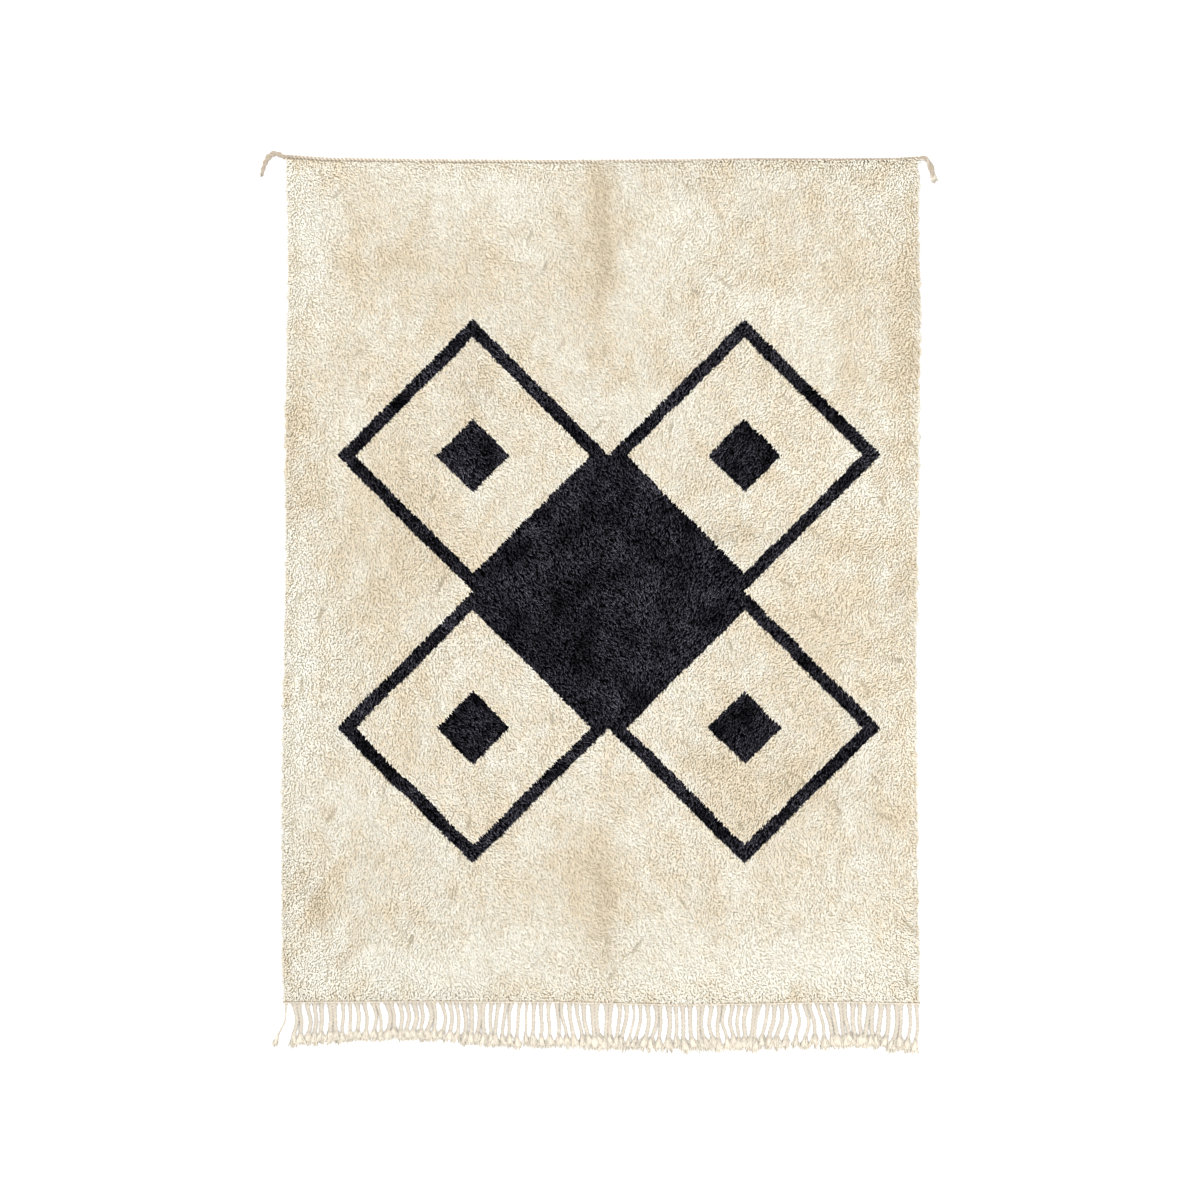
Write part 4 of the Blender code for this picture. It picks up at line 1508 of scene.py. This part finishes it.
def thread_part(route, soil):
    """Thin yarn along a route."""
    thread = model_cord(route["at"][-1], THREAD_WIDTH, THREAD_TWIST, sides=3, steps=5)
    points, triangles = read_model(thread)
    # The thread is darker in its creases, as painted shade, and all over by its soil.
    return laid_on(points, route), triangles, np.maximum(crease_of(points, THREAD_WIDTH), soil)


seam_parts = []
for end, aside, first, last, height, dip, soil in THREADS:
    x = np.arange(first, last, DASH / 4)
    middle = height - dip * (1.0 + np.sin(math.tau * x / DASH))
    route = new_route(x, seam_y(x, end) + aside, broad=1.0, tall=THREAD_TALL, middle=middle)
    seam_parts.append(thread_part(route, soil))
seam_parts.append(thread_part(new_route(LOOSE_END["x"], LOOSE_END["y"], **LOOSE_SECTION), 0.0))

for x, y, z, width in SEAM_KNOTS:
    tall = SEAM_KNOT_TALL * width
    knot = model_cord(tall, SEAM_KNOT_BROAD * width, SEAM_KNOT_TWIST, sides=4, steps=5)
    add_knot(knot, tall / 2, width, SEAM_KNOT_TILTS)
    points, triangles = read_model(knot)
    placed = points + (x, y, z) - (0.0, 0.0, tall / 2)
    seam_parts.append((placed, triangles, np.full(len(points), SEAM_KNOT_SOIL)))
seam = yarn_piece("seam_threads", seam_parts, SEAM_YARN)

# %% [markdown]
# ## Set up the stage
# The rug lies on a plain pale floor and is seen from straight above through a long lens, so its sides stay
# parallel. A large soft lamp from the top left and a weaker one from the bottom right give the locks just
# enough shadow to read, and the sky fills the rest.

# %% Floor, lamps and camera
FLOOR_SIDE = 60.0
FLOOR_WHITE = (0.93, 0.93, 0.93, 1.0)
SKY_STRENGTH = 1.15
LENS = 100.0
SENSOR = 36.0
PICTURE_WIDTH = 3.402
PICTURE_MIDDLE = (-0.0043, -0.0524)
LAMP_NAMES = ("key_lamp", "fill_lamp")
LAMPS = table("x y z side watts", (-2.2, 3.3, 5.0, 3.2, 200.0), (2.6, -3.4, 4.6, 4.0, 134.0))

put_down_all()
bpy.ops.mesh.primitive_plane_add(size=FLOOR_SIDE)
floor = bpy.context.object
floor.name = "studio_floor"
floor_paint, _, floor_shader = new_finish("floor_paint", roughness=0.8, gloss=0.1)
floor_shader.inputs["Base Color"].default_value = FLOOR_WHITE
floor.data.materials.append(floor_paint)

for lamp_name, (*place, side, watts) in zip(LAMP_NAMES, LAMPS):
    lamp_data = bpy.data.lights.new(lamp_name, "AREA")
    lamp_data.size = side
    lamp_data.energy = watts
    lamp = bpy.data.objects.new(lamp_name, lamp_data)
    bpy.context.scene.collection.objects.link(lamp)
    lamp.location = place
    lamp.rotation_euler = (-lamp.location).to_track_quat("-Z", "Y").to_euler()

sky = bpy.data.worlds.new("studio_sky")
sky.use_nodes = True
fill_in(sky.node_tree, sky.node_tree.nodes["Background"], {"Color": WHITE, "Strength": SKY_STRENGTH})
bpy.context.scene.world = sky
bpy.context.scene.view_settings.view_transform = "Standard"

camera_data = bpy.data.cameras.new("camera")
camera_data.lens = LENS
camera_data.sensor_width = SENSOR
camera = bpy.data.objects.new("camera", camera_data)
bpy.context.scene.collection.objects.link(camera)
camera.location = (*PICTURE_MIDDLE, PICTURE_WIDTH * LENS / SENSOR)
bpy.context.scene.camera = camera

# %% [markdown]
# ## The rug's body
# Everything rides on the rug's one body. The pile and the ground take the place of the pile solid, the
# heading cord and the fringe that of the other two.

# %% Bodies and slots
SLOTS = {
    "wool_pile": [ground, *pile_bands],
    "heading_yarn": [heading_cord, seam],
    "warp_yarn": [fringe],
}
for slot, pieces in SLOTS.items():
    for piece in pieces:
        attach(piece, "root")
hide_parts("pile_field")
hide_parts("heading_cord")
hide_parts("warp_fringe")
